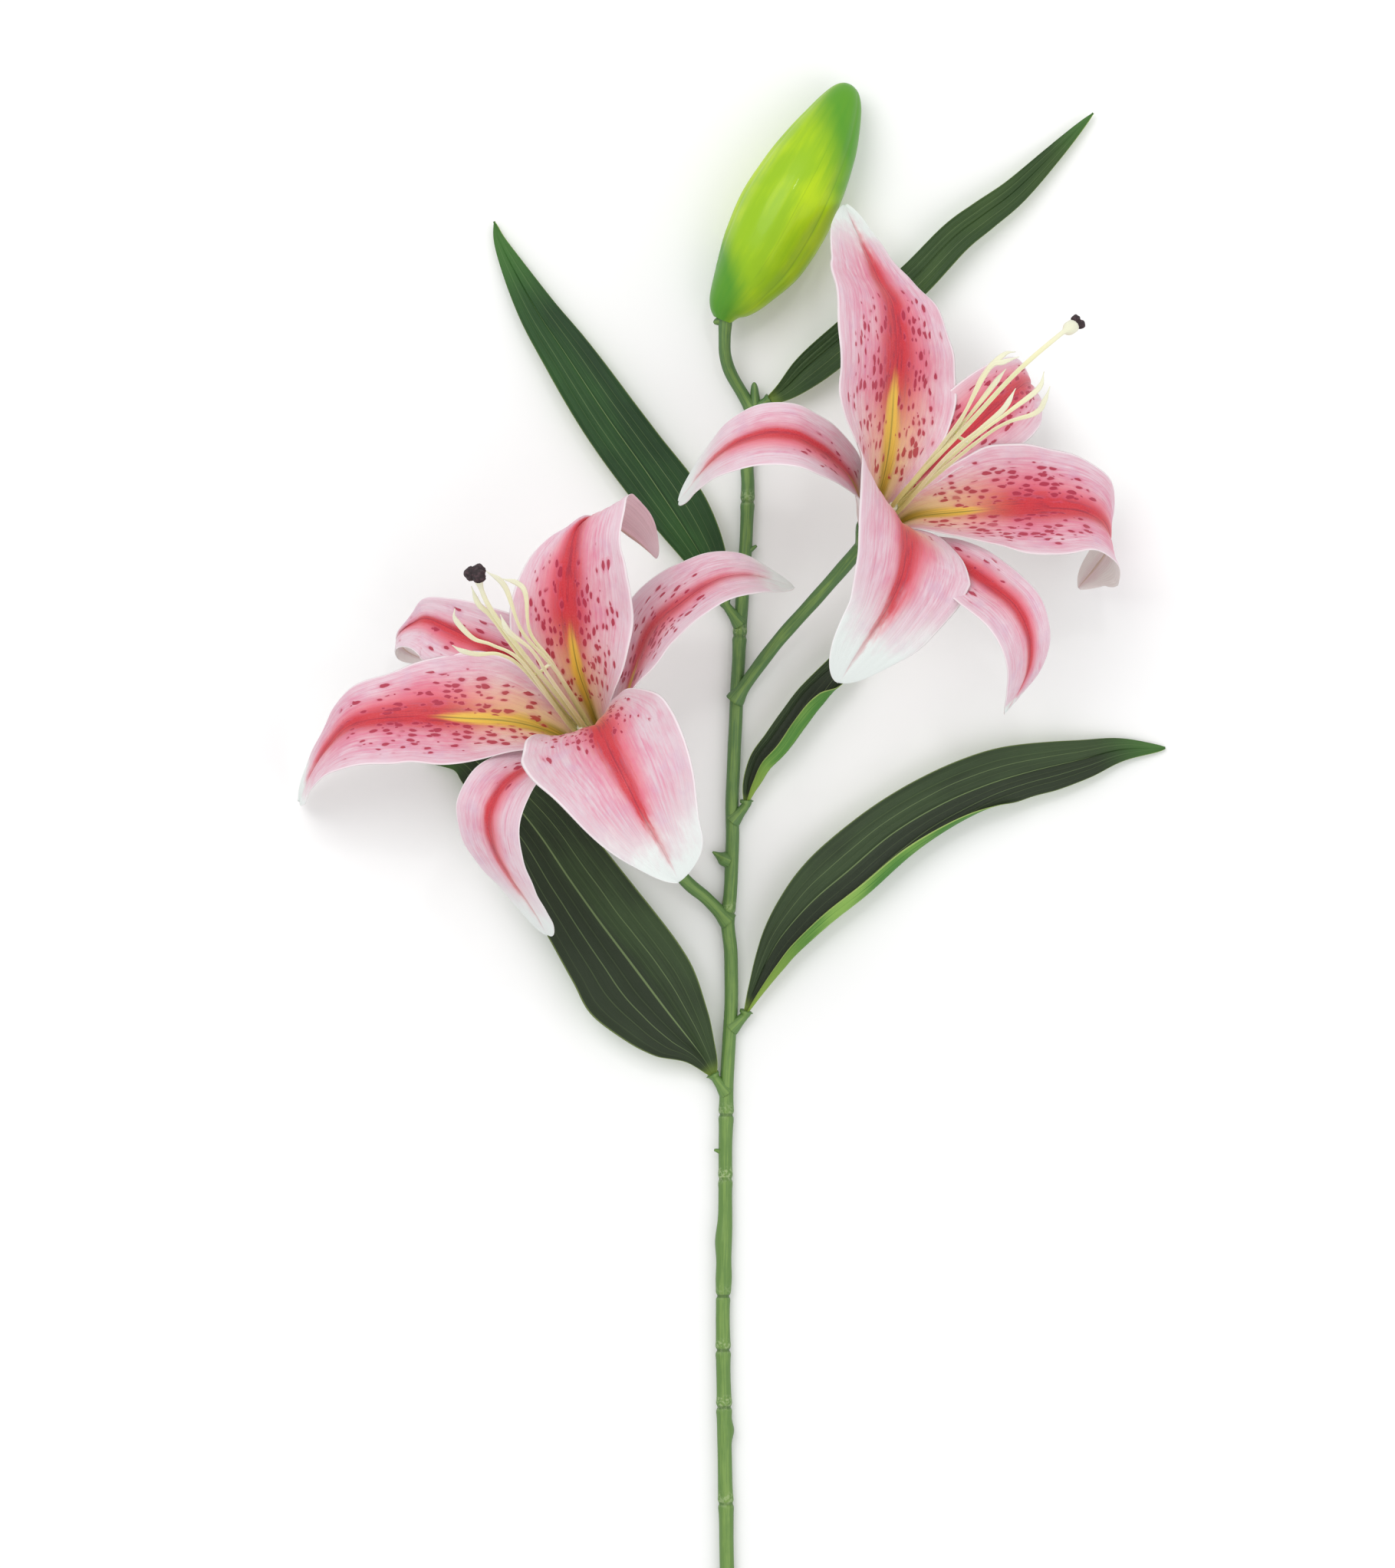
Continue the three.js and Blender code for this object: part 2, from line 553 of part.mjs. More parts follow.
// The stem's centre line seen from above, from the cut end to the top joint.
const stemRoute = [
  [-0.7, -300], [-0.7, -270], [-0.7, -240], [-1, -205], [-2, -151.7], [-2.3, -115.8], [-1.5, -87.4],
  [-1.5, -63], [-0.9, -38.4], [0.4, -13.7], [0.4, 3.4], [-0.7, 15.4], [0.1, 24.9], [0.9, 41.9],
  [0.9, 59], [1.9, 81.8], [2.9, 102.3], [3.7, 118.3], [5.6, 145.9], [6.1, 163.7], [6.1, 173],
  [8.8, 191],
];
const budAxis = [
  [-2.6, 220.3, 13.2], [-0.7, 224.9, 13.8], [4.7, 232.6, 15], [11.8, 243.7, 15.8], [18.6, 256.5, 15.8],
  [25.6, 268.6, 15], [33, 281, 13.5], [38.8, 291.9, 11.5], [42, 300.3, 9.5],
];
const budProfile = [
  [0, 0.2], [0.06, 0.46], [0.16, 0.7], [0.3, 0.93], [0.45, 1], [0.6, 0.92], [0.76, 0.68], [0.9, 0.38],
  [0.97, 0.2], [1, 0.05],
];
const budPedicel = [[8.6, 188.5, 3.2], [5, 195.6, 4.4], [1.1, 202.6, 7.2], [-2.2, 210, 10.8]];
const leftPedicel = [[-0.3, 15, 3.1], [-8, 23, 4.8], [-15, 29, 8], [-27, 43, 16], [-36.5, 60, 24.5]];
const rightPedicel = [[1.6, 90.5, 3.1], [7, 98.5, 5.5], [16.8, 111.3, 11], [28.5, 124.3, 18], [38.5, 135.6, 24.2]];
const thorns = [
  { root: [-0.6, 34, 3], tip: [-6, 39.5, 4.6], radius: 1.7 },
  { root: [-1.3, -65, 3], tip: [-5.3, -63, 3.6], radius: 1.3 },
  { root: [5.2, 141, 3.1], tip: [9.2, 143.6, 3.6], radius: 1.2 },
];
const budlet = [[8.8, 189, 3.3], [8.6, 194, 4.2], [8.3, 199.4, 5]];

// Rods that are not part of the lower stem start level, with a flat side down.
function sprig(places, radius, steps, sides = 8) {
  const points = places.map(toVector);
  const run = points[1].clone().sub(points[0]);
  const firstSide = run.clone().cross(new THREE.Vector3(0, 0, 1)).normalize();
  return rodGeometry({ points, positions: evenSteps(steps), radius, sides, firstSide });
}

// The stem thins towards the top, with a grooved ring at each node.
function stemGeometry() {
  const stations = evenSteps(26).map((v) => v * stemLength);
  for (const place of nodeDistances) {
    const offsets = [-nodeReach, -ringOffset, 0, ringOffset, nodeReach];
    stations.push(...offsets.map((offset) => place + offset));
  }
  stations.push(...stemRadius.map(([place]) => place));
  const positions = stations
    .sort((a, b) => a - b)
    .filter((place, k, all) => k === 0 || place - all[k - 1] > shortestStation)
    .map((place) => Math.min(place / stemLength, 1));
  const radius = (v) => {
    const place = v * stemLength;
    const ring = nodeDistances.some((node) => Math.abs(Math.abs(place - node) - ringOffset) < 0.4);
    return valueAt(stemRadius, place) + (ring ? nodeSwelling : 0);
  };
  return rodGeometry({
    points: stemRoute.map(([x, y]) => new THREE.Vector3(x, y, stemHeight)),
    positions,
    radius,
    sides: stemSides,
    firstSide: new THREE.Vector3(-1, 0, 0),
  });
}

// The swollen end of a pedicel that the bloom sits on, in line with the bloom's axis.
function receptacleGeometry(bloom) {
  const frame = bloomFrame(bloom);
  const points = [-receptacleLength, -receptacleLength / 2, -seatGap].map((height) =>
    inBloom(frame, 0, height, 0),
  );
  return rodGeometry({
    points,
    positions: evenSteps(6),
    radius: (v) => receptacleNeck + (receptacleRadius - receptacleNeck) * smoothstep(v, 0.15, 1),
    sides: 12,
    firstSide: frame.sideways,
  });
}

function pedicelTo(bloom, route, steps) {
  const frame = bloomFrame(bloom);
  const end = inBloom(frame, 0, -receptacleLength / 2, 0);
  return sprig([...route, end.toArray()], (v) => pedicelRadius + pedicelSwelling * v, steps);
}

// The last stretch of the bud's pedicel runs straight into the bud.
function budSeat() {
  const [base, next] = budAxis.slice(0, 2).map(toVector);
  const along = next.sub(base).normalize();
  return [4, 2, 0].map((back) => base.clone().addScaledVector(along, -budGap - back).toArray());
}

// A short stub under each leaf, ending just clear of the leaf's foot.
function stubGeometry({ stubRoot, spine }) {
  const [foot, next] = spine.slice(0, 2).map(toVector);
  const along = next.sub(foot).normalize();
  const end = foot.addScaledVector(along, -seatGap);
  const before = end.clone().addScaledVector(along, -1.5);
  return sprig([stubRoot, before.toArray(), end.toArray()], (v) => stubRadius - stubTaper * v, 5, 6);
}

function wholeStemGeometry() {
  return joined([
    stemGeometry(),
    pedicelTo(leftBloom, leftPedicel, 12),
    receptacleGeometry(leftBloom),
    pedicelTo(rightBloom, rightPedicel, 12),
    receptacleGeometry(rightBloom),
    sprig(
      [...budPedicel, ...budSeat()],
      (v) => budPedicelRadius + budPedicelSwelling * smoothstep(v, 0.85, 1),
      12,
    ),
    sprig(budlet, (v) => budletRadius * (1 - 0.9 * v) ** 0.6, 6),
    ...thorns.map(({ root, tip, radius }) => sprig([root, tip], (v) => radius * (1 - 0.65 * v), 3, 6)),
    ...leaves.map(stubGeometry),
  ]);
}

// Bud: three long lobes with a groove between each two.
function budGeometry() {
  return rodGeometry({
    points: budAxis.map(toVector),
    positions: bladePositions(17),
    radius: (v) => budRadius * valueAt(budProfile, v),
    sides: budSides,
    firstSide: new THREE.Vector3(1, 0, 0),
    shape: (angle, v) => {
      const lobe = Math.abs(Math.sin((budLobes / 2) * (angle - Math.PI / 2)));
      const depth = (budGroove / budRadius) * smoothstep(v, 0.05, 0.3);
      return 1 - depth * (1 - lobe) ** 3;
    },
  });
}

const lily = new THREE.Group();
lily.add(named("main_stem", wholeStemGeometry(), stemFinish));
for (const leaf of leaves) lily.add(named(leaf.name, leafGeometry(leaf), leafFinish));
lily.add(named("bud", budGeometry(), budFinish));
lily.add(bloomMeshes(leftBloom), bloomMeshes(rightBloom));

export default lily;
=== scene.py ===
import math
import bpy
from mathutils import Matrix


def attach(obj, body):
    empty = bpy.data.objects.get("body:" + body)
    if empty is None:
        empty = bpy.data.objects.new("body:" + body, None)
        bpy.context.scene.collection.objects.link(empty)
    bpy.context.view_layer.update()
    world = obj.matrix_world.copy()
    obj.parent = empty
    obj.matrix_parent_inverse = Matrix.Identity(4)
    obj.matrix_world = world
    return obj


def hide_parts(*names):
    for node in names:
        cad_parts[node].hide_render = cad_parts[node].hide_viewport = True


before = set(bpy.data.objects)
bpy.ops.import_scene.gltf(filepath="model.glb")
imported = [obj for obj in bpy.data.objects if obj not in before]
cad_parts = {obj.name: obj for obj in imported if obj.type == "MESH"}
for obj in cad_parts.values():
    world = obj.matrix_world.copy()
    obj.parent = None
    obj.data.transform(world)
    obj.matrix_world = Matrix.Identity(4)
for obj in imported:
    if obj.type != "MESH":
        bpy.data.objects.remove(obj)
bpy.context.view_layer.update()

from types import SimpleNamespace
import bpy
from mathutils import Vector
import numpy as np

# A cut lily spray lying on a pale floor, seen straight from above.
# Shapes are given in millimetres and turned into metres when a mesh is made.
mm = 0.001
print("frame loaded:", len(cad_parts), "nodes")


# Numbers along a curve

# 0 below low, 1 above high, and a smooth rise between them
def smoothRise(value, low, high):
    share = np.clip((value - low) / (high - low), 0, 1)
    return share * share * (3 - 2 * share)


# One number all along, or a value that runs smoothly through [position, value] pairs and never
# overshoots them: a cubic between each two, whose slope at a pair is the harmonic mean of its neighbours'.
def valueAt(pairs, position):
    position = np.asarray(position, float)
    if np.ndim(pairs) == 0:
        return np.full_like(position, float(pairs))
    x, y = np.asarray(pairs, float).T
    slope = np.diff(y) / np.diff(x)
    before, after = slope[:-1], slope[1:]
    sameWay = before * after > 0
    middle = np.where(sameWay, 2 * before * after / np.where(sameWay, before + after, 1), 0)
    tangent = np.concatenate([slope[:1], middle, slope[-1:]])
    position = np.clip(position, x[0], x[-1])
    k = np.clip(np.searchsorted(x, position, side="right") - 1, 0, len(x) - 2)
    gap = x[k + 1] - x[k]
    t = (position - x[k]) / gap
    start = (y[k] * (1 + 2 * t) + tangent[k] * gap * t) * (1 - t) ** 2
    return start + (y[k + 1] * (3 - 2 * t) - tangent[k + 1] * gap * (1 - t)) * t**2


# Catmull-Rom curve through the points, read at equal shares of its own length:
# p = ((2b) + (c - a)t + (2a - 5b + 4c - d)t^2 + (3b - a - 3c + d)t^3) / 2 between b and c
def curveAt(points, positions, samples=1600):
    p = np.asarray(points, float)
    p = np.vstack([2 * p[0] - p[1], p, 2 * p[-1] - p[-2]])
    t = np.linspace(0, len(p) - 3, samples)
    k = np.minimum(t.astype(int), len(p) - 4)
    t = (t - k)[:, None]
    a, b, c, d = p[k], p[k + 1], p[k + 2], p[k + 3]
    line = (2 * b + (c - a) * t + (2 * a - 5 * b + 4 * c - d) * t**2 + (3 * b - a - 3 * c + d) * t**3) / 2
    length = np.concatenate([[0], np.cumsum(np.linalg.norm(np.diff(line, axis=0), axis=1))])
    want = np.asarray(positions) * length[-1]
    places = np.stack([np.interp(want, length, line[:, axis]) for axis in range(3)], -1)
    return places, length[-1]


# the direction along the curve, a side vector that turns only as the curve bends, and their normal
def framesAlong(places, firstSide):
    along = np.gradient(places, axis=0)
    along /= np.linalg.norm(along, axis=1, keepdims=True)
    sides = np.empty_like(places)
    side = np.asarray(firstSide, float)
    for row, direction in enumerate(along):
        side = side - direction * (side @ direction)
        side = side / np.linalg.norm(side)
        sides[row] = side
    return along, sides, np.cross(along, sides)


# Meshes

# puts vertices (mm), faces and per-vertex vectors into one smooth mesh object that stands for a CAD node
def makePiece(name, vertices, faces, vectors, material, slot, node):
    mesh = bpy.data.meshes.new(name)
    mesh.from_pydata((np.asarray(vertices) * mm).tolist(), [], faces)
    for key, values in vectors.items():
        attribute = mesh.attributes.new(key, "FLOAT_VECTOR", "POINT")
        attribute.data.foreach_set("vector", np.asarray(values, np.float32).ravel())
    mesh.polygons.foreach_set("use_smooth", np.ones(len(mesh.polygons), bool))
    mesh.materials.append(material)
    mesh.update()
    piece = bpy.data.objects.new(name, mesh)
    bpy.context.scene.collection.objects.link(piece)
    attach(piece, "root")
    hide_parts(node)


# quads between neighbouring rings of a closed section, rings x corners, as index rows
def ringQuads(rings, corners):
    ring = np.arange(rings - 1)[:, None] * corners
    corner = np.arange(corners)[None, :]
    following = (corner + 1) % corners
    quads = [ring + corner, ring + following, ring + corners + following, ring + corners + corner]
    return np.stack(quads, -1).reshape(-1, 4).tolist()


# the same, and each end ring closes on a vertex of its own, which follow all the rings
def cappedRings(rings, corners):
    first, last = rings * corners, (rings - 1) * corners
    faces = ringQuads(rings, corners)
    faces += [[first, (k + 1) % corners, k] for k in range(corners)]
    faces += [[first + 1, last + k, last + (k + 1) % corners] for k in range(corners)]
    return faces


# several bodies as one mesh: each is (vertices, faces, vectors)
def mergeBodies(bodies):
    vertices, faces, vectors, start = [], [], {}, 0
    for bodyVertices, bodyFaces, bodyVectors in bodies:
        vertices.append(bodyVertices)
        faces += [[index + start for index in face] for face in bodyFaces]
        for key, values in bodyVectors.items():
            vectors.setdefault(key, []).append(values)
        start += len(bodyVertices)
    return np.vstack(vertices), faces, {key: np.vstack(values) for key, values in vectors.items()}


# Closed rod along a curve: at each place a ring of corners, reach(distance, angle) from the centre.
# Corner angles run round from the side vector towards the normal; each end closes on its centre.
# "place" is (distance in mm, share of the length, 0), and "round" is (cos, sin, 0) of the angle.
def rodBody(points, reach, rows, corners, firstSide=None, positions=None):
    positions = np.linspace(0, 1, rows) if positions is None else positions
    centres, length = curveAt(points, positions)
    if firstSide is None:
        firstSide = np.cross(centres[1] - centres[0], [0, 0, 1])
    _, side, normal = framesAlong(centres, firstSide)
    angle = np.arange(corners) / corners * 2 * np.pi
    cos, sin = np.cos(angle), np.sin(angle)
    distance, share = (positions * length)[:, None], positions[:, None]
    radius = reach(distance, angle[None, :]) * np.ones((rows, corners))
    ring = side[:, None] * cos[:, None] + normal[:, None] * sin[:, None]
    vertices = (centres[:, None] + ring * radius[..., None]).reshape(-1, 3)
    place = np.stack(np.broadcast_arrays(distance, share, 0 * angle), -1).reshape(-1, 3)
    facing = np.stack(np.broadcast_arrays(cos, sin, 0 * share), -1).reshape(-1, 3)
    vectors = {"place": np.vstack([place, [[0, 0, 0], [length, 1, 0]]]),
               "round": np.vstack([facing, np.zeros((2, 3))])}
    return np.vstack([vertices, centres[:1], centres[-1:]]), cappedRings(rows, corners), vectors


# Blades: leaves and petals

bladeForm = {
    "thickness": 0.6,  # mm at the middle
    "marginRound": 14,  # how late the thickness falls away towards the margin
    "endRound": 40, "endThin": 0.04,  # the same towards foot and tip, and the least share, squared
    "tipHalfWidth": 0.35, "footFade": 0.5,  # mm, and the share of the length where the foot's width fades
    "rows": 140, "rowBunch": 0.06,  # rows crowd towards foot and tip
    "columnBunch": 1.35,  # columns crowd towards the margins
    "sectionSamples": 240,
    "waveRise": 2.5, "waveLag": 1.9,  # power of the distance from the middle; the left side comes later
    "ruffleRise": 4, "ruffleBeat": 2.7, "ruffleLag": 3,
}


# half the width: a narrow foot that fades out, and a swell that peaks once
def bladeHalfWidth(blade, v):
    peak = blade["peak"]
    rising = np.sin(np.pi / 2 * np.clip(v / peak, 0, 1)) ** blade["rise"]
    falling = np.cos(np.pi / 2 * np.clip((v - peak) / (1 - peak), 0, 1)) ** blade["fall"]
    swell = np.where(v < peak, rising, np.maximum(falling, 0))
    return blade["foot"] * (1 - smoothRise(v, 0, bladeForm["footFade"])) + blade["half"] * swell


# The cross-section as (sideways, raised) on a rows x columns grid. The surface turns by cup * u from
# the middle out, and by the curl over the left margin's outermost share; both are summed along u.
# Waves and ruffles grow as powers of |u|, a groove exp(-((u - lean) / g)^2) runs along the blade,
# and ridges are a cosine across it.
def bladeSection(blade, v, u):
    form, samples = bladeForm, bladeForm["sectionSamples"]
    fine = np.linspace(-1, 1, samples + 1)
    edge, step = np.abs(fine), fine[1] - fine[0]

    # one of the blade's values along v, as a column
    def along(key, other=0):
        return valueAt(blade.get(key, other), v)[:, None]

    # running sum from the middle out
    def summed(values):
        total = np.cumsum((values[:, 1:] + values[:, :-1]) / 2, axis=1)
        total = np.concatenate([np.zeros((len(v), 1)), total], 1)
        return (total - total[:, [samples // 2]]) * step

    half = bladeHalfWidth(blade, v)[:, None]
    width = half * np.where(fine < 0, along("left", 1), along("right", 1))
    width = np.maximum(width, form["tipHalfWidth"])
    turn = np.radians(along("cup")) * fine
    turn = turn - np.radians(along("leftCurl")) * smoothRise(-fine, blade.get("curlFrom", 0), 1)
    sideways, raised = summed(np.cos(turn) * width), summed(np.sin(turn) * width)

    beat = 2 * np.pi * blade["waves"] * v[:, None] + np.where(fine > 0, 0, form["waveLag"])
    raised = raised + along("wave") * np.sin(beat) * edge ** form["waveRise"]
    ruffle = (blade["ruffle"] * smoothRise(v, 0.15, 0.4) * (1 - 0.5 * v))[:, None]
    ruffle = ruffle * np.sin(beat * form["ruffleBeat"] + form["ruffleLag"] * fine)
    raised = raised + ruffle * edge ** form["ruffleRise"]
    groove = (blade["groove"] * smoothRise(v, 0, 0.08) * smoothRise(1 - v, 0, 0.1))[:, None]
    raised = raised - groove * np.exp(-(((fine - along("lean")) / blade["grooveWidth"]) ** 2))
    ridges = (blade["ridges"] * smoothRise(v, 0.03, 0.15) * smoothRise(1 - v, 0.02, 0.2))[:, None]
    raised = raised + ridges * np.cos(fine * np.pi * blade["ridgeCount"])
    return [np.stack([np.interp(u, fine, row) for row in grid]) for grid in (sideways, raised)]


# The blade as a closed thin body: both faces stand off the middle surface along its normal and
# meet at the margins. "place" is (across -1..1 with 0 on the groove, along 0..1, face +1 or -1),
# and "spread" is (across, along, 3 * face) with the first two in mm.
def bladeBody(blade):
    form, rows, columns = bladeForm, bladeForm["rows"], blade["columns"]
    s = np.linspace(0, 1, rows)
    v = s - form["rowBunch"] * np.sin(2 * np.pi * s)
    u = np.sin(np.linspace(-1, 1, columns) * form["columnBunch"]) / np.sin(form["columnBunch"])
    centres, length = curveAt(blade["points"], v)
    _, side, normal = framesAlong(centres, blade["firstSide"])
    roll = np.radians(valueAt(blade.get("roll", 0), v))[:, None]
    sideNow = side * np.cos(roll) + normal * np.sin(roll)
    normalNow = normal * np.cos(roll) - side * np.sin(roll)
    sideways, raised = bladeSection(blade, v, u)
    grid = centres[:, None] + sideNow[:, None] * sideways[..., None]
    grid = grid + normalNow[:, None] * raised[..., None]
    outward = np.cross(np.gradient(grid, axis=0), np.gradient(grid, axis=1))
    outward /= np.linalg.norm(outward, axis=2, keepdims=True)
    taper = np.sqrt(np.clip(1 - np.abs(u) ** form["marginRound"], 0, 1))
    ends = np.sqrt(np.clip(1 - np.abs(2 * v - 1) ** form["endRound"], form["endThin"], 1))[:, None]
    offset = outward * (form["thickness"] / 2 * taper * ends)[..., None]

    # once round the section: the upper face, then the lower one back
    def bothFaces(upper, lower):
        return np.concatenate([upper, lower[:, -2:0:-1]], axis=1)

    ring = bothFaces(grid + offset, grid - offset)
    corners = ring.shape[1]
    lean = valueAt(blade.get("lean", 0), v)[:, None]
    across = (u - lean) / np.where(u > lean, 1 - lean, 1 + lean)
    across, wide = bothFaces(across, across), bothFaces(sideways, sideways)
    face = np.concatenate([np.ones(columns), -np.ones(columns - 2)])
    face[[0, columns - 1]] = 0
    place = np.stack(np.broadcast_arrays(across, v[:, None], face), -1).reshape(-1, 3)
    spread = np.stack(np.broadcast_arrays(wide, (v * length)[:, None], 3 * face), -1).reshape(-1, 3)
    faces = [quad[::-1] for quad in ringQuads(rows, corners)]
    upperIndex = np.arange(columns)
    lowerIndex = np.concatenate([[0], np.arange(corners - 1, columns - 1, -1), [columns - 1]])
    for row, order in ((0, 1), (rows - 1, -1)):  # the foot and the tip are closed between the faces
        a, b = upperIndex + row * corners, lowerIndex + row * corners
        for k in range(columns - 1):
            corner = [int(c) for c in dict.fromkeys([a[k], a[k + 1], b[k + 1], b[k]])]
            faces.append(corner[::order])
    return ring.reshape(-1, 3), faces, {"place": place, "spread": spread}


# Shader building

# sRGB hex, such as "e8a0b8", as a linear colour
def tint(code):
    parts = [int(code[k:k + 2], 16) / 255 for k in (0, 2, 4)]
    return tuple(c / 12.92 if c <= 0.04045 else ((c + 0.055) / 1.055) ** 2.4 for c in parts) + (1.0,)


# a dictionary's entries as attributes, its hex codes turned into colours
def readLook(entries):
    read = {key: tint(value) if isinstance(value, str) else value for key, value in entries.items()}
    return SimpleNamespace(**read)


# a node socket that takes Python's arithmetic: each operator adds one Math node
class Wire:
    def __init__(self, paint, socket):
        self.paint, self.socket = paint, socket

    def math(self, operation, *values):
        return self.paint.node("ShaderNodeMath", {"operation": operation}, dict(enumerate(values)))

    def __add__(self, other):
        return self.math("ADD", self, other)

    def __radd__(self, other):
        return self.math("ADD", other, self)

    def __sub__(self, other):
        return self.math("SUBTRACT", self, other)

    def __rsub__(self, other):
        return self.math("SUBTRACT", other, self)

    def __mul__(self, other):
        return self.math("MULTIPLY", self, other)

    def __rmul__(self, other):
        return self.math("MULTIPLY", other, self)

    def __truediv__(self, other):
        return self.math("DIVIDE", self, other)

    def __rtruediv__(self, other):
        return self.math("DIVIDE", other, self)

    def __abs__(self):
        return self.math("ABSOLUTE", self)

    def sine(self):
        return self.math("SINE", self)

    def most(self, other):
        return self.math("MAXIMUM", self, other)

    # smooth 0 to 1 as the value goes from low to high, which may be the smaller of the two
    def rise(self, low, high):
        inputs = {"Value": self, "From Min": low, "From Max": high}
        return self.paint.node("ShaderNodeMapRange", {"interpolation_type": "SMOOTHSTEP"}, inputs)

    # a number that follows [position, number] stops
    def follow(self, *stops):
        grey = [(at, (level, level, level, 1.0)) for at, level in stops]
        return self.paint.node("ShaderNodeValToRGB", {"stops": grey}, {"Fac": self})


# one material and its nodes
class Paint:
    def __init__(self, name):
        self.material = bpy.data.materials.new(name)
        self.material.use_nodes = True
        self.tree = self.material.node_tree
        self.tree.nodes.clear()

    # adds a node: its settings first, then the values or links of its sockets
    def node(self, kind, settings=None, inputs=None, output=0):
        made = self.tree.nodes.new(kind)
        for key, value in (settings or {}).items():
            if key == "stops":
                ramp = made.color_ramp
                ramp.interpolation = "EASE"
                for at, _ in value[2:]:
                    ramp.elements.new(at)
                for element, (at, colour) in zip(ramp.elements, sorted(value)):
                    element.position, element.color = at, colour
            else:
                setattr(made, key, value)
        for key, value in (inputs or {}).items():
            if isinstance(value, Wire):
                self.tree.links.new(value.socket, made.inputs[key])
            else:
                made.inputs[key].default_value = value
        return Wire(self, made.outputs[output])

    # another output of the same node
    def again(self, wire, output):
        return Wire(self, wire.socket.node.outputs[output])

    # the three numbers of one of the mesh's own vectors
    def parts(self, name):
        vector = self.node("ShaderNodeAttribute", {"attribute_name": name}, output="Vector")
        return self.split(vector)

    def split(self, vector):
        first = self.node("ShaderNodeSeparateXYZ", inputs={0: vector})
        return first, self.again(first, 1), self.again(first, 2)

    def join(self, x, y, z):
        return self.node("ShaderNodeCombineXYZ", inputs={0: x, 1: y, 2: z})

    def mix(self, share, first, second):
        inputs = {0: share, 6: first, 7: second}
        return self.node("ShaderNodeMix", {"data_type": "RGBA"}, inputs, output=2)

    # a smooth noise around 0.5
    def noise(self, vector, scale=1.0, detail=2.0, roughness=0.5):
        inputs = {"Vector": vector, "Scale": scale, "Detail": detail, "Roughness": roughness}
        return self.node("ShaderNodeTexNoise", inputs=inputs)

    # the finished surface: what varies is linked, what is the same all over is a plain number
    def finish(self, colour, roughness, bumps=(), **constants):
        inputs = {"Base Color": colour, "Roughness": roughness}
        normal = None
        for height, distance, strength in bumps:
            bump = {"Height": height, "Distance": distance * mm, "Strength": strength}
            if normal:
                bump["Normal"] = normal
            normal = self.node("ShaderNodeBump", inputs=bump)
        if normal:
            inputs["Normal"] = normal
        inputs.update({key.replace("_", " "): value for key, value in constants.items()})
        shader = self.node("ShaderNodeBsdfPrincipled", inputs=inputs)
        out = self.tree.nodes.new("ShaderNodeOutputMaterial")
        self.tree.links.new(shader.socket, out.inputs["Surface"])
        return self.material


# Petals

# what a petal's paint is made of; each petal may change any of it
innerLook = {
    "pink": "d6809b", "pale": "dfc5cf", "lilac": "cba2bd", "white": "e2e8e5", "glow": "dc5566",
    "crimson": "c6212f", "deep": "a01732", "line": "941a35", "yellow": "e6bb45", "olive": "93832b",
    "cream": "ead194", "spot": "a50c36", "spotWarm": "b03a26", "halo": "d0587a", "vein": "b8648a",
    "rim": "f0ebec", "under": "ebe0de", "underMid": "d2a0aa", "underRib": "bd9a78", "underVein": "c194a0",
    "pinkness": 0.7,  # how much of the flanks is pink; the rest is pale
    "band": [(0.0, 0.05), (0.25, 0.18), (0.45, 0.24), (0.7, 0.16), (0.9, 0.07), (1.0, 0.03)],
    "bandPower": [(0.0, 0.2), (0.18, 0.75), (0.4, 1.0), (0.75, 0.95), (0.93, 0.55), (1.0, 0.0)],
    "glowSide": 1,  # where the band fades out more broadly: left -1, right +1
    "yellowEnd": 0.46, "yellowWidth": 0.34, "creamEnd": 0.45,
    "tipFrom": 0.82, "tipTo": 0.99,
    "spotFrom": 0.12, "spotTo": 0.74, "spotShare": 0.6,
    "lineFrom": 0.42, "lineWidth": 0.014,
}
outerLook = {
    **innerLook,
    "band": [(0.0, 0.1), (0.25, 0.2), (0.5, 0.17), (0.75, 0.11), (0.92, 0.06), (1.0, 0.03)],
    "yellowEnd": 0.28, "yellowWidth": 0.3, "creamEnd": 0.26, "pinkness": 0.45,
    "spotTo": 0.6, "spotShare": 0.3, "lineWidth": 0.02, "tipFrom": 0.8,
}


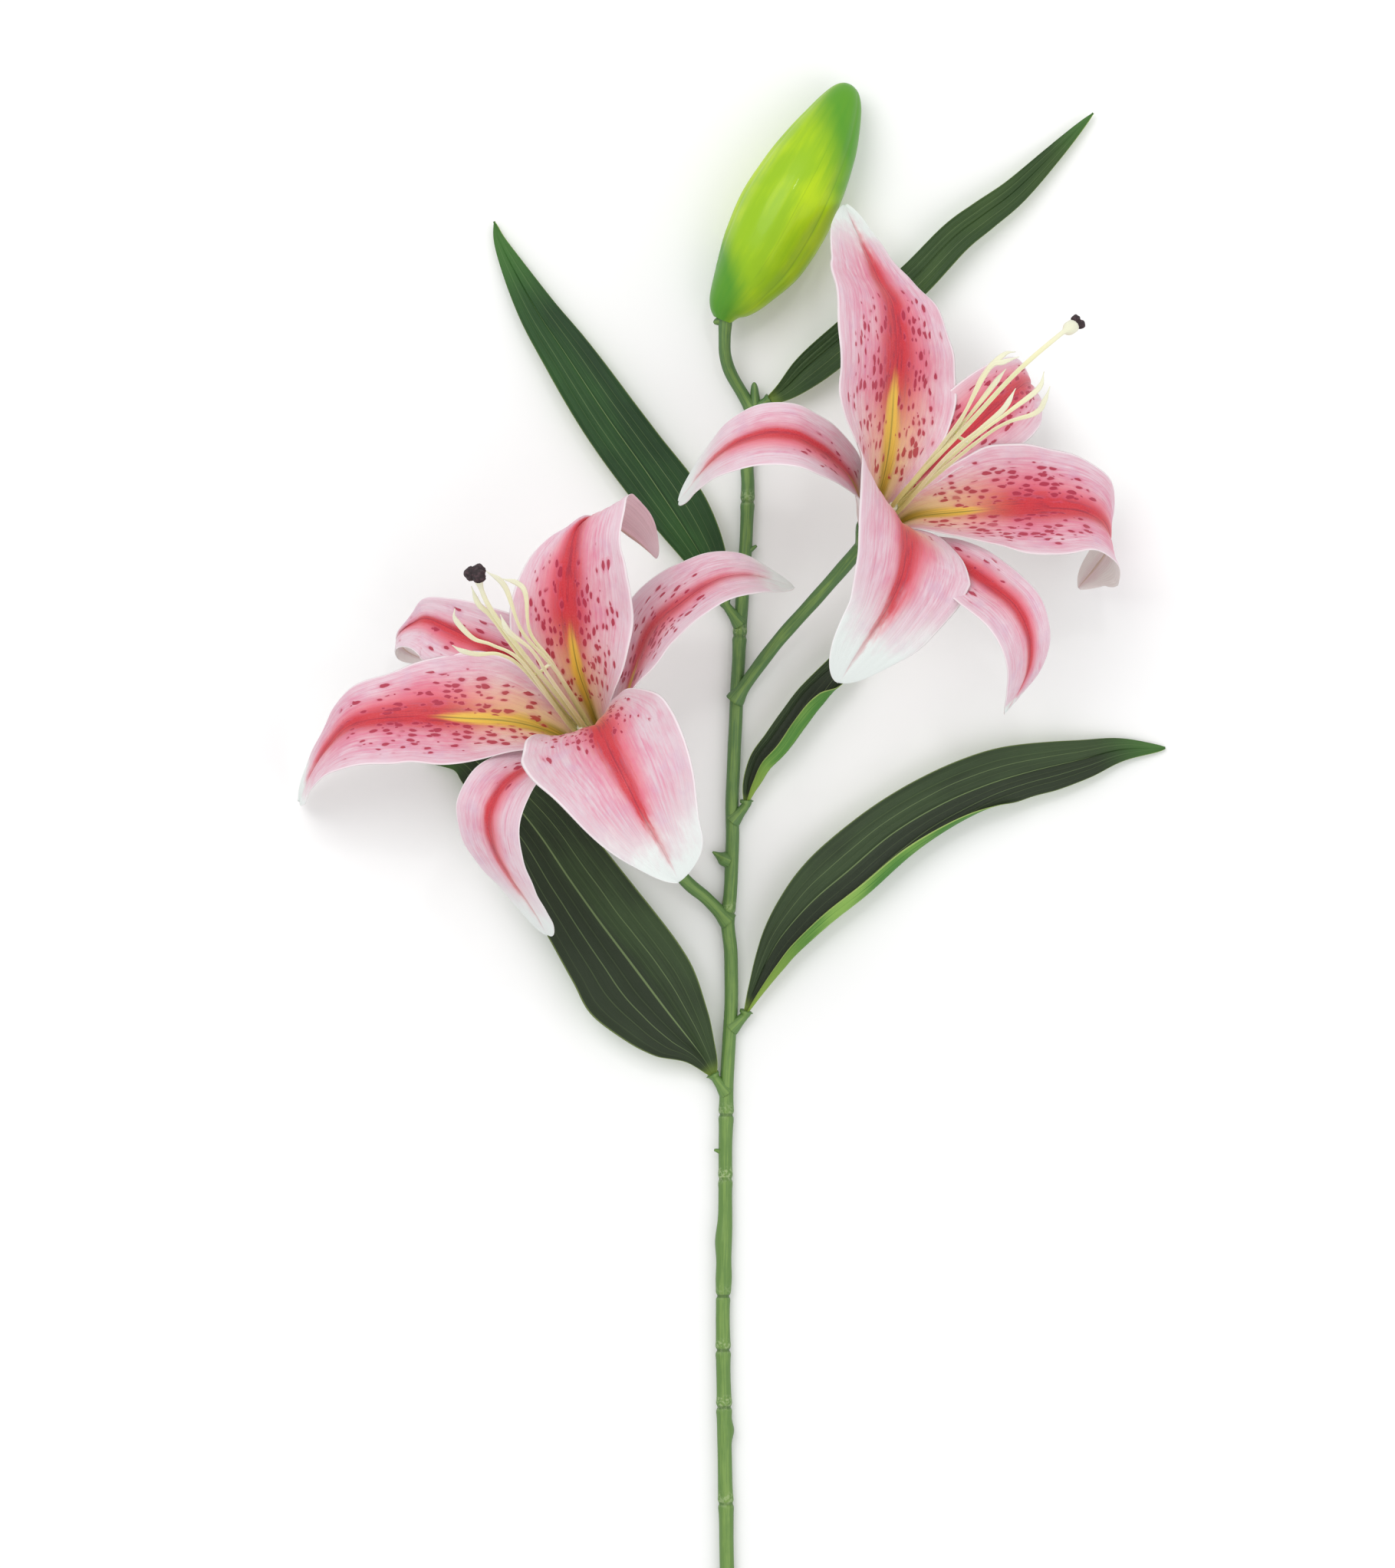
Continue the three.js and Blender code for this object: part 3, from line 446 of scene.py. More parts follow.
# Painted from the middle out: a yellow wedge that tapers from the throat, olive near the throat with painted
# shade along its middle groove, a crimson band that swells and tapers, a glow next to it, flanks of pink and
# pale brush strokes, spots, veins, a pale rim.
def petalPaint(name, look, seed):
    paint, look = Paint(name), readLook(look)
    across, along, face = paint.parts("place")
    wide, far, _ = paint.parts("spread")
    upper = face.rise(-0.2, 0.2)
    edge = abs(across)
    side = (across * look.glowSide).rise(-0.2, 0.3)

    # unevenness around 0
    def uneven(x, y, shift, detail=3.0):
        place = paint.join(x + seed * shift, y + seed * 3.1, face * 2)
        return paint.noise(place, 1.0, detail, 0.6) - 0.5

    patch = uneven(wide * 0.12, far * 0.07, 7.3)
    stroke = uneven(wide * 0.8, far * 0.13, 2.7)
    fibre = uneven(across * 30, far * 0.04, 1.9, 2.0)
    grain = uneven(wide * 2.3, far * 1.4, 5.9, 2.0)
    cloud = uneven(wide * 0.12, far * 0.14, 11.7)

    pinkness = look.pinkness - edge * 0.35 + patch * 1.4 + stroke * 1.1 + fibre * 1.3
    colour = paint.mix(pinkness.rise(-0.1, 1.0), look.pale, look.pink)
    colour = paint.mix(cloud.rise(0.0, 0.2) * 0.35, colour, look.lilac)
    colour = paint.mix((edge + patch * 0.4).rise(0.6, 1.05) * 0.5, colour, look.pale)

    power = along.follow(*look.bandPower)
    width = along.follow(*look.band)
    ratio = (edge + stroke * 0.15 + fibre * 0.1) / (width + 0.02)
    glow = ratio.rise(3.4, 0.8) * power * (0.35 + side * 0.55)
    colour = paint.mix(glow, colour, look.glow)
    band = ratio.rise(1.6, 0.4) * power
    red = paint.mix((stroke * 2 + fibre * 1.6).rise(-0.1, 0.55), look.crimson, look.deep)
    colour = paint.mix(band * (0.97 + grain * 0.4), colour, red)

    throat = along.rise(look.creamEnd, 0.1) * (edge + stroke * 0.3).rise(0.95, 0.15) * (0.7 + side * 0.3)
    colour = paint.mix(throat, colour, look.cream)
    reach = (1 - along / look.yellowEnd).most(0.0) * look.yellowWidth
    wedge = (edge + stroke * 0.06 + fibre * 0.04).rise(reach * 1.25 + 0.03, reach * 0.5)
    wedge = wedge * along.rise(look.yellowEnd, look.yellowEnd - 0.1)
    # olive towards the throat, where the petal is greener, and painted shade in a line along the groove down
    # the middle
    shade = along.rise(0.36, 0.04) * 0.75 + edge.rise(0.03, 0.0) * 0.7 + fibre * 1.3
    gold = paint.mix(shade.rise(0.0, 1.0), look.yellow, look.olive)
    colour = paint.mix(wedge, colour, gold)

    vein = (edge + fibre * 0.02).rise(look.lineWidth, look.lineWidth * 0.3)
    vein = vein * along.rise(look.lineFrom, look.lineFrom + 0.15) * along.rise(0.97, 0.9)
    colour = paint.mix(vein * 0.7, colour, look.line)
    veins = (across * 74 + patch * 9).sine()
    colour = paint.mix(veins.rise(0.75, 1.0) * 0.11 * edge.rise(0.05, 0.3), colour, look.vein)

    tip = (along + patch * 0.3 + stroke * 0.15 + edge * 0.04).rise(look.tipFrom, look.tipTo)
    colour = paint.mix(tip * (1 - band * 0.6), colour, look.white)

    area = along.rise(look.spotFrom, look.spotFrom + 0.08) * along.rise(look.spotTo, look.spotTo - 0.25)
    area = area * edge.rise(0.06, 0.16) * edge.rise(0.92, 0.4) * look.spotShare

    # one spot to a cell of a jittered lattice, longer along the petal, and a soft ring round each
    def spots(cellWide, cellLong, radius, share, shift):
        cell = paint.join(wide / cellWide + shift + patch * 1.6, far / cellLong + shift + stroke * 0.5, 0.0)
        settings = {"feature": "F1", "voronoi_dimensions": "2D"}
        inputs = {"Vector": cell, "Scale": 1.0, "Randomness": 0.95}
        near = paint.node("ShaderNodeTexVoronoi", settings, inputs)
        chance, bulk, _ = paint.split(paint.again(near, "Color"))
        size = (0.5 + bulk * 0.6) * radius
        kept = (area * share - chance).rise(0.0, 0.06)
        return near.rise(size + 0.06, size - 0.05) * kept, near.rise(size * 2.4, size) * kept

    big, bigRing = spots(2.1, 4.7, 0.34, 0.95, seed * 3.7)
    small, smallRing = spots(1.6, 2.8, 0.2, 0.25, seed * 1.3)
    dots = big.most(small)
    spotColour = paint.mix(throat, look.spot, look.spotWarm)
    colour = paint.mix(bigRing.most(smallRing) * 0.35, colour, look.halo)
    colour = paint.mix(dots * 0.92, colour, spotColour)
    colour = paint.mix(edge.rise(0.95, 0.98) * 0.65, colour, look.rim)

    back = paint.mix((edge + patch).rise(0.6, 0.0) * 0.4, look.under, look.underMid)
    back = paint.mix(edge.rise(0.08, 0.02) * 0.6, back, look.underRib)
    back = paint.mix(veins.rise(0.6, 1.0) * 0.2, back, look.underVein)
    colour = paint.mix(upper, back, colour)

    bumps = [(fibre, 0.5, 0.35), (grain, 0.3, 0.25), (dots, 0.3, 0.45)]
    return paint.finish(colour, 0.52 + stroke * 0.25, bumps, Sheen_Weight=0.1)


# a short broad band that ends as a thin line, for the petals that bend towards the viewer
frontBand = [(0.0, 0.1), (0.2, 0.24), (0.4, 0.19), (0.6, 0.11), (0.85, 0.045), (1.0, 0.02)]
innerPetal = {
    "half": 22, "foot": 3.1, "peak": 0.52, "rise": 1.5, "fall": 0.7,
    "cup": [[0, 50], [0.12, 56], [0.22, 50], [0.45, 18], [1, 8]],
    "groove": 1.0, "grooveWidth": 0.09, "wave": [[0, 0], [0.3, 0.4], [1, 0.8]], "waves": 3,
    "ruffle": 0.4, "ridges": 0.1, "ridgeCount": 9, "columns": 45,
}
outerPetal = {
    "half": 15, "foot": 3.6, "peak": 0.5, "rise": 1.25, "fall": 0.75,
    "cup": [[0, 40], [0.15, 40], [0.5, 14], [1, 10]],
    "groove": 0.75, "grooveWidth": 0.11, "wave": [[0, 0], [0.3, 0.2], [1, 0.4]], "waves": 3,
    "ruffle": 0.15, "ridges": 0.08, "ridgeCount": 7, "columns": 45,
}

# A bloom's axis leans from the vertical by tilt, towards heading, counted from +X. Each petal's
# line lists [out from the axis, height, turn from its azimuth], mm and degrees. left and right are
# shares of the half width on either side, and lean is how far the groove and band stand off the middle.
leftPetals = [
    dict(innerPetal, name="inner_tepal_1", azimuth=60,
         left=[[0, 1], [0.12, 1.25], [0.25, 1.46], [0.4, 1.1], [0.58, 0.7], [0.75, 0.6], [1, 0.9]],
         right=[[0, 1], [0.2, 1.2], [0.32, 1.15], [0.5, 0.92], [0.75, 0.95], [1, 1]],
         roll=[[0, 0], [0.2, -14], [0.45, -10], [0.8, 0], [1, 0]],
         line=[[3.4, 0, 0.2], [9, 14, -0.1], [19, 25, 0.1], [34, 33, 0], [51.9, 40.3, -0.5], [71, 44, 0],
               [85.5, 36, 0.1], [97.7, 24.7, 0.6], [108, 11.7, 0.4]],
         look=dict(innerLook, glowSide=-1, spotShare=0.85)),
    dict(innerPetal, name="inner_tepal_2", azimuth=180,
         left=[[0, 1], [0.15, 1.35], [0.45, 1.35], [0.65, 1.1], [1, 1]],
         right=[[0, 1], [0.2, 0.85], [0.35, 0.84], [0.5, 1.1], [0.85, 1.25], [0.95, 1.7], [1, 1.9]],
         line=[[3.4, 0, 0], [8, 15, 8], [16, 28, 12], [28, 38, 12], [43, 42, 5], [57, 39, 2],
               [67, 31, 0], [75, 20, -1], [79, 8, -2]],
         look=dict(innerLook, spotTo=0.6, yellowEnd=0.3, tipFrom=0.74, spotShare=0.95, band=frontBand,
                   pale="d6c0c8", pinkness=0.55)),
    dict(innerPetal, name="inner_tepal_3", azimuth=300, peak=0.48,
         left=[[0, 1], [0.12, 1.15], [0.25, 1.26], [0.4, 1.15], [0.52, 1.17], [0.62, 1.15], [0.75, 1.12],
               [0.9, 1.2], [1, 1]],
         right=[[0, 1], [0.35, 1], [0.5, 0.82], [0.57, 0.66], [0.63, 0.42], [0.68, 0.16], [0.73, 0.07],
                [1, 0.12]],
         roll=[[0, 0], [0.2, 14], [0.4, 20], [0.58, 8], [0.75, -14], [0.88, -8], [1, 0]],
         line=[[3.4, 0, 0.1], [7, 16, 0.2], [12, 34, 0], [20.1, 50.5, -1.7], [29.2, 62.5, -0.5],
               [36, 67.4, 0.8], [42.2, 69.7, 1.8], [48.2, 67.8, 3.3], [53, 63, 3.8], [56.9, 55.2, 2.8],
               [59.7, 44.2, 0.3], [59.6, 33.7, -3.5]],
         look=dict(innerLook, spotShare=0.85, spotTo=0.68, yellowEnd=0.42, under="e4c4cb",
                   pinkness=0.58)),
    dict(outerPetal, name="outer_tepal_1", azimuth=0, half=14,
         left=[[0, 1.2], [0.25, 1.3], [0.45, 1.05], [0.55, 0.87], [0.66, 0.6], [0.74, 0.33],
               [0.82, 0.14], [0.87, 0.2], [0.92, 0.9], [1, 1.6]],
         right=[[0, 0.7], [0.25, 0.7], [0.45, 0.92], [0.58, 1.1], [0.68, 1.06], [0.75, 0.86],
                [0.85, 0.8], [0.92, 1.1], [1, 1.6]],
         roll=[[0, 0], [0.3, -4], [0.5, -14], [0.65, -11], [0.8, 5], [1, 5]],
         line=[[5.6, 0, 0], [11.5, 13.8, 3.4], [19, 26.5, 9.1], [27.2, 36.9, 14.7], [35.5, 44.6, 20.5],
               [45.2, 49.2, 22.8], [54.8, 50.3, 23.3], [62, 47, 25], [68.2, 43.1, 27], [72, 38.7, 28.3],
               [73.1, 34.3, 28.8], [71.5, 30.9, 28.7], [68.4, 28.5, 28.1], [65.8, 27.3, 27.3]],
         look=dict(outerLook, spotShare=0.22, spotTo=0.95)),
    dict(outerPetal, name="outer_tepal_2", azimuth=120, half=16, fall=0.55, left=0.9, right=1.15,
         line=[[5.6, 0, 0.1], [11, 10, 0.1], [19, 19, -3], [26.8, 25.9, -4.3], [36.6, 29.7, -4.2],
               [46.3, 27.5, -3.9], [52.2, 17.4, -3.9], [54.3, 2.5, -4], [54.9, -14.5, -3.9],
               [55.7, -32.2, -4.1]],
         look=dict(outerLook, tipFrom=0.66, spotShare=0.55, spotTo=0.45,
                   band=[[0.0, 0.1], [0.25, 0.15], [0.5, 0.12], [0.75, 0.08], [0.92, 0.05], [1.0, 0.03]])),
    dict(outerPetal, name="outer_tepal_3", azimuth=240, half=15.5, fall=0.62,
         left=[[0, 1], [0.12, 1.2], [0.3, 1.35], [0.5, 0.95], [0.7, 1], [1, 1]],
         right=[[0, 1.1], [0.2, 1.25], [0.35, 1.38], [0.5, 1.2], [0.75, 0.9], [1, 0.85]],
         lean=[[0, 0.2], [0.4, 0.18], [0.6, 0], [1, 0]],
         roll=[[0, 0], [0.15, 0], [0.5, 20], [1, 25]],
         line=[[5.6, 0, 0], [12, 11, 6], [21, 20, 19], [31, 28, 26], [42, 35, 28], [55, 39, 27],
               [67, 39, 26], [77, 33, 25], [85.5, 18.5, 25]],
         look=dict(outerLook, yellowEnd=0.36, glowSide=-1, spotShare=0.6, spotTo=0.8,
                   bandPower=[[0.0, 0.2], [0.18, 0.75], [0.4, 1.0], [0.62, 0.8], [0.85, 0.4], [1.0, 0.0]])),
]
leftBloom = dict(
    name="left", base=[-43.8, 72.5, 33.5], heading=125.3, tilt=45, petals=leftPetals,
    # each filament lists [sideways, height, forward] past its root on the ovary
    filaments=[
        [[4.5, 50, 2.5], [8, 61, 3.5], [14, 66, 4.5], [17.5, 71, 5], [19, 75, 5.5]],
        [[3.5, 55, 0.5], [8, 69, 0.5], [12, 77, 0.5], [13, 88, 1], [11, 92, 1]],
        [[3, 57, 4], [3, 74, 7], [4, 81, 8], [2.5, 88, 9.5]],
        [[-4, 44, 0.5], [-2.5, 66, 1], [-6.5, 86, 2], [-4.5, 96, 2.5]],
        [[-4.5, 45, 2.5], [-4.5, 60, 5], [-10.5, 73, 7], [-10.5, 78, 8.5], [-7, 83, 9.5]],
        [[-1, 45, -3], [-1.5, 62, -5], [1, 76, -6], [0, 84, -5.5]],
    ],
    style=[[1.5, 58, 2.5], [1.5, 80, 5], [-1, 93, 6.5]], styleTip=1.3,
    stigma=dict(radius=2.35, lobes=[[1.6, 0.1, 0.6], [-1.4, 0.5, 0.8], [-0.2, 0.1, -1.5]]),
)
rightPetals = [
    dict(innerPetal, name="inner_tepal_1", azimuth=60, half=21.5,
         left=[[0, 1], [0.12, 1.2], [0.25, 1.36], [0.35, 1.28], [0.5, 1.06], [0.65, 0.81], [0.8, 0.68],
               [1, 0.75]],
         right=[[0, 1.1], [0.1, 1.6], [0.3, 1.9], [0.45, 1.45], [0.7, 1.3], [1, 1]],
         line=[[3.4, 0, 0], [8, 14, -4], [16, 26, -8], [30, 38, -11], [43, 48, -12], [57, 52, -13],
               [69, 49, -13], [81, 47, -13], [93.6, 43.7, -13.4], [105.2, 40.5, -13.6]],
         look=dict(innerLook, tipFrom=0.76, glowSide=-1, spotShare=0.75)),
    dict(innerPetal, name="inner_tepal_2", azimuth=180, half=23, fall=0.55,
         left=[[0, 1], [0.1, 1.35], [0.22, 2], [0.4, 1.42], [0.6, 1.08], [0.75, 0.9], [1, 0.95]],
         right=[[0, 1], [0.1, 1.2], [0.22, 1.34], [0.35, 1.23], [0.48, 1.23], [0.6, 1.14], [0.75, 1.05],
                [1, 1.1]],
         cup=[[0, 50], [0.12, 56], [0.2, 46], [0.32, 28], [0.5, 14], [1, 8]],
         wave=[[0, 0], [0.5, 0.1], [1, 0.4]],
         ruffle=0.05,
         line=[[3.4, 0, 0], [7, 14, 6], [12, 24, 14], [21, 33, 21], [32, 37, 22], [44, 34, 23],
               [53, 26, 22], [61, 16, 20], [68.3, 1.1, 18.6]],
         look=dict(innerLook, tipFrom=0.64, tipTo=0.9, spotTo=0.5, yellowEnd=0.24, pinkness=0.5,
                   band=frontBand, spotShare=0.5)),
    dict(innerPetal, name="inner_tepal_3", azimuth=300, half=21,
         cup=[[0, 50], [0.12, 56], [0.22, 50], [0.45, 28], [1, 8]],
         left=[[0, 1], [0.12, 1.2], [0.25, 1.28], [0.45, 1.22], [0.65, 0.97], [0.85, 1.25], [0.95, 1.25],
               [1, 1]],
         right=[[0, 1], [0.2, 1.3], [0.32, 1.28], [0.5, 1.08], [0.7, 1], [0.84, 1.08], [0.94, 1.5],
                [1, 1.7]],
         line=[[3.4, 0, 0], [9, 13, -0.2], [20, 21, -0.1], [34, 28, 2], [48, 33, 3], [60.1, 34.7, 3.6],
               [69.2, 32.5, 3.3], [76, 26.1, 3], [79.8, 17.1, 2.6], [79.1, 8.9, 1.2], [75.3, 2.5, -2.4]],
         look=dict(innerLook, spotShare=0.85, tipFrom=0.88, yellowEnd=0.36)),
    dict(outerPetal, name="outer_tepal_1", azimuth=0, half=14, right=1.1,
         left=[[0, 0.5], [0.35, 0.55], [0.5, 0.98], [0.8, 1.3], [1, 1.1]],
         roll=[[0, 0], [0.3, 0], [0.6, 10], [1, 10]],
         line=[[5.6, 0, -0.1], [10, 13, -2], [18, 22, -5], [30, 30, -8], [42.2, 35.7, -8.6],
               [53.9, 37.5, -8.7], [64, 35.5, -8.5], [71.6, 30, -9.1], [73.6, 22.4, -9.5]],
         look=dict(outerLook, band=[[0.0, 0.1], [0.3, 0.28], [0.6, 0.32], [0.85, 0.26], [1.0, 0.1]],
                   tipFrom=0.93, spotShare=0.8, spotTo=1.0)),
    dict(outerPetal, name="outer_tepal_2", azimuth=120, fall=0.55, left=0.85, right=1.1,
         line=[[5.6, 0, -0.1], [11, 12, -0.1], [18, 22, -3], [27, 28, -5], [36, 32, -5],
               [44.9, 33.9, -4.7], [53.9, 29.8, -4.5], [60.8, 18.7, -4.6], [64.2, 3.3, -4.2],
               [64.6, -17.2, -3.5]],
         look=dict(outerLook, tipFrom=0.68)),
    dict(outerPetal, name="outer_tepal_3", azimuth=240, half=14.5,
         lean=[[0, 0], [0.2, 0.25], [0.8, 0.3], [1, 0]],
         roll=[[0, 0], [0.12, 0], [0.3, 12], [0.5, 10], [0.75, 0], [1, 0]],
         left=0.92,
         line=[[5.6, 0, 0], [12.2, 9.5, 3], [22.6, 17.6, 6], [33.8, 23.6, 8], [44.5, 28.2, 8],
               [55, 32, 8], [65, 30, 8], [72, 23, 8], [75.7, 12.6, 8.5], [76.9, -2.7, 9.8]],
         look=dict(outerLook, tipFrom=0.9)),
]
rightBloom = dict(
    name="right", base=[48.6, 147.6, 35.5], heading=52, tilt=40, petals=rightPetals,
    filaments=[
        [[-0.5, 54, 9.5], [3, 72, 18], [2, 80, 24.5], [-0.5, 81, 28]],
        [[0, 60, 7], [3, 82, 13], [0.5, 87, 15], [-2.5, 92, 16.5]],
        [[-1, 43, 7], [-1.5, 62, 14.5], [-1.5, 74, 26]],
        [[-6.5, 52, 9], [-11, 69, 16], [-14, 79, 23], [-12, 82, 28]],
        [[-10.5, 65, 8], [-18, 80, 12], [-18, 86, 13.5], [-16.5, 91, 15.5]],
        [[-4, 50, 1], [-7, 68, 3], [-9, 80, 5], [-8, 88, 8]],
    ],
    style=[[-3, 59, 10], [-5, 81, 20.5], [-8.5, 92, 35], [-10.3, 90.8, 44]], styleTip=2.3,
    stigma=dict(radius=1.6, lobes=[[1.1, 1.4, 1.2], [-1.1, 1.5, 1.1], [0, 1.8, -0.5]]),
)


# the bloom's own axes: (axis, forward, sideways)
def bloomAxes(bloom):
    turn, lean = math.radians(bloom["heading"]), math.radians(bloom["tilt"])
    east, north = math.cos(turn), math.sin(turn)
    axis = np.array([math.sin(lean) * east, math.sin(lean) * north, math.cos(lean)])
    forward = np.array([math.cos(lean) * east, math.cos(lean) * north, -math.sin(lean)])
    return axis, forward, np.cross(axis, forward)


# places given as rows of [sideways, height, forward] in the bloom
def inBloom(bloom, places):
    axis, forward, sideways = bloomAxes(bloom)
    across, height, ahead = np.atleast_2d(np.asarray(places, float)).T[..., None]
    return np.array(bloom["base"]) + across * sideways + height * axis + ahead * forward


# a blade along the petal's line, each place turned about the bloom's axis by azimuth + turn
def makePetal(bloom, petal, seed):
    out, height, turn = np.array(petal["line"], float).T
    angle = np.radians(petal["azimuth"] + turn)
    points = inBloom(bloom, np.stack([out * np.sin(angle), height, out * np.cos(angle)], -1))
    firstSide = np.cross(bloomAxes(bloom)[0], points[0] - bloom["base"])
    body = bladeBody({**petal, "points": points, "firstSide": firstSide})
    name = bloom["name"] + "_" + petal["name"]
    makePiece(name + "_petal", *body, petalPaint(name, petal["look"], seed), "tepal", name)


petals = [(bloom, petal) for bloom in (leftBloom, rightBloom) for petal in bloom["petals"]]
for seed, (bloom, petal) in enumerate(petals, 1):
    makePetal(bloom, petal, seed)
print("petals made")


# Stamens, style and stigma

stamenForm = {
    "rootReach": 1.2, "rootHeight": 4, "shoulderReach": 3, "shoulderHeight": 20,
    "filamentRadius": 0.72, "filamentTaper": 0.4, "filamentRidge": 0.12,
    "tipWide": 0.84, "tipThin": 0.3, "tipPoint": 0.75,
    "ovaryRadius": 2.3, "ovaryHeight": 16, "ovaryTaper": 0.4, "ovaryLobe": 0.06,
    "styleRadius": 0.8, "styleRoot": 10, "styleRidge": 0.07,
    "webRadius": 0.6, "webSag": 2, "gap": 0.42,
    # rings along each and corners round it
    "ovaryGrid": (24, 24), "styleGrid": (110, 15), "filamentGrid": (90, 12), "webGrid": (16, 8),
    "root": "d2d07a", "middle": "ece8c0", "tip": "e2e5d6", "core": "c6c884",
}


# pale and velvety, greener at the root, whiter at the tip
def stamenPaint():
    paint, look = Paint("stamen_velvet"), readLook(stamenForm)
    _, share, _ = paint.parts("place")
    _, up, _ = paint.parts("round")
    where = paint.node("ShaderNodeTexCoord", output="Object")
    fuzz = paint.noise(where, 2600.0, 2.0, 0.7)
    patch = paint.noise(where, 260.0, 2.0)
    colour = paint.mix(share.rise(0.05, 0.5), look.root, look.middle)
    colour = paint.mix(share.rise(0.8, 1.0) * 0.6, colour, look.tip)
    core = (abs(up) + (patch - 0.5) * 0.8).rise(0.55, 0.95) * share.rise(0.95, 0.6)
    colour = paint.mix(core * 0.45, colour, look.core)
    return paint.finish(colour, 0.62 + fuzz * 0.2, [(fuzz, 0.12, 0.6)], Sheen_Weight=0.3)


# One filament: a round stalk whose last share widens sideways and thins, as a small curled tongue.
def filamentBody(bloom, places):
    form = stamenForm
    across, _, forward = places[0]
    outward = np.array([across, 0, forward]) / math.hypot(across, forward)
    root = outward * form["rootReach"] + [0, form["rootHeight"], 0]
    shoulder = outward * form["shoulderReach"] + [0, form["shoulderHeight"], 0]
    points = inBloom(bloom, np.vstack([root, shoulder, places]))
    length = curveAt(points, [0, 1])[1]

    def reach(distance, angle):
        share = distance / length
        radius = form["filamentRadius"] * (1 - form["filamentTaper"] * share)
        flat = smoothRise(share, 0.72, 0.92) * (1 - smoothRise(share, 0.95, 1.02))
        widened = form["tipWide"] * flat * np.cos(angle) ** 2
        wide = 1 + widened - form["tipThin"] * flat * np.sin(angle) ** 2
        ridge = 1 + form["filamentRidge"] * np.cos(2 * angle)
        return radius * wide * ridge * (1 - form["tipPoint"] * smoothRise(share, 0.93, 1.0))

    return rodBody(points, reach, *form["filamentGrid"], bloomAxes(bloom)[2])


# a lobed ovary that narrows upwards, a style that flares at its end, six filaments, and the web
# between the first filament, the style and the fourth
def makeStamens(bloom, material):
    form = stamenForm
    axis, _, sideways = bloomAxes(bloom)
    tall = form["ovaryHeight"]

    def ovary(distance, angle):
        narrowing = 1 - form["ovaryTaper"] * (distance / tall) ** 2
        return form["ovaryRadius"] * narrowing * (1 + form["ovaryLobe"] * np.cos(6 * angle))

    points = inBloom(bloom, [[0, form["gap"], 0], [0, tall / 2, 0], [0, tall, 0]])
    bodies = [rodBody(points, ovary, *form["ovaryGrid"], sideways)]
    points = inBloom(bloom, [[0, form["styleRoot"], 0], [0, form["styleRoot"] + tall, 0], *bloom["style"]])
    length = curveAt(points, [0, 1])[1]

    def style(distance, angle):
        swell = (bloom["styleTip"] - form["styleRadius"]) * smoothRise(distance / length, 0.93, 0.975)
        return form["styleRadius"] + swell + form["styleRidge"] * np.cos(3 * angle)

    bodies.append(rodBody(points, style, *form["styleGrid"], sideways))
    bodies += [filamentBody(bloom, places) for places in bloom["filaments"]]
    first, middle, fourth = bloom["filaments"][0][0], bloom["style"][0], bloom["filaments"][3][0]
    height = (first[1] + fourth[1]) / 2
    web = [[first[0], height, first[2]], [middle[0], height - form["webSag"], middle[2]],
           [fourth[0], height, fourth[2]]]
    bodies.append(rodBody(inBloom(bloom, web), lambda d, a: form["webRadius"], *form["webGrid"], axis))
    name = bloom["name"]
    makePiece(name + "_filaments", *mergeBodies(bodies), material, "stamen", name + "_stamens")


stigmaForm = {
    "rows": 26, "corners": 32, "rough": 0.08, "pole": 0.02,
    "dark": "241419", "lit": "4a3238", "dust": "6c4f4c",
}


# A lumpy ball: r = radius (1 + bumps), with bumps a sum of sines of the direction.
def ballBody(centre, radius, seed):
    rows, corners = stigmaForm["rows"], stigmaForm["corners"]
    polar = np.linspace(stigmaForm["pole"], math.pi - stigmaForm["pole"], rows)[:, None]
    turn = np.arange(corners) / corners * 2 * math.pi
    x, y, z = np.broadcast_arrays(np.sin(polar) * np.cos(turn), np.sin(polar) * np.sin(turn), np.cos(polar))
    way = np.stack([x, y, z], -1).reshape(-1, 3)
    bumps = np.sin(5 * x + seed) * np.sin(4 * y + 2 * seed)
    bumps = bumps + 0.6 * np.sin(11 * z + seed) * np.sin(9 * x - seed)
    bumps = bumps + 0.5 * np.sin(17 * y + 3 * seed) * np.sin(15 * z + seed)
    poles = np.array([[0, 0, 1], [0, 0, -1]])
    vertices = way * (radius * (1 + stigmaForm["rough"] * bumps)).reshape(-1, 1)
    faces = [face[::-1] for face in cappedRings(rows, corners)]
    return np.vstack([vertices, poles * radius]) + centre, faces, {"place": np.vstack([way, poles])}


# dark and dull, lumpy, with a fine lighter dust
def stigmaPaint():
    paint, look = Paint("stigma_dark"), readLook(stigmaForm)
    where = paint.node("ShaderNodeTexCoord", output="Object")
    lumps = paint.noise(where, 900.0, 3.0, 0.6)
    fine = paint.noise(where, 3200.0, 2.0, 0.6)
    colour = paint.mix(lumps.rise(0.4, 0.7), look.dark, look.lit)
    colour = paint.mix(fine.rise(0.6, 0.8) * 0.35, colour, look.dust)
    return paint.finish(colour, 0.45 + fine * 0.3, [(lumps, 0.5, 0.8), (fine, 0.15, 0.6)])


# the lobed stigma, just clear of the end of the style: one ball to a lobe
def makeStigma(bloom, material):
    before, end = inBloom(bloom, bloom["style"][-2:])
    along = (end - before) / np.linalg.norm(end - before)
    across = np.cross(along, bloomAxes(bloom)[0])
    across /= np.linalg.norm(across)
    up = np.cross(across, along)
    seat = end + along * 2 * stamenForm["gap"]
    bodies = []
    for k, (sideways, ahead, raised) in enumerate(bloom["stigma"]["lobes"]):
        centre = seat + across * sideways + up * raised + along * ahead
        bodies.append(ballBody(centre, bloom["stigma"]["radius"], 1.7 * k + 0.4))
    name = bloom["name"]
    makePiece(name + "_stigma_lobes", *mergeBodies(bodies), material, "stigma", name + "_stigma")


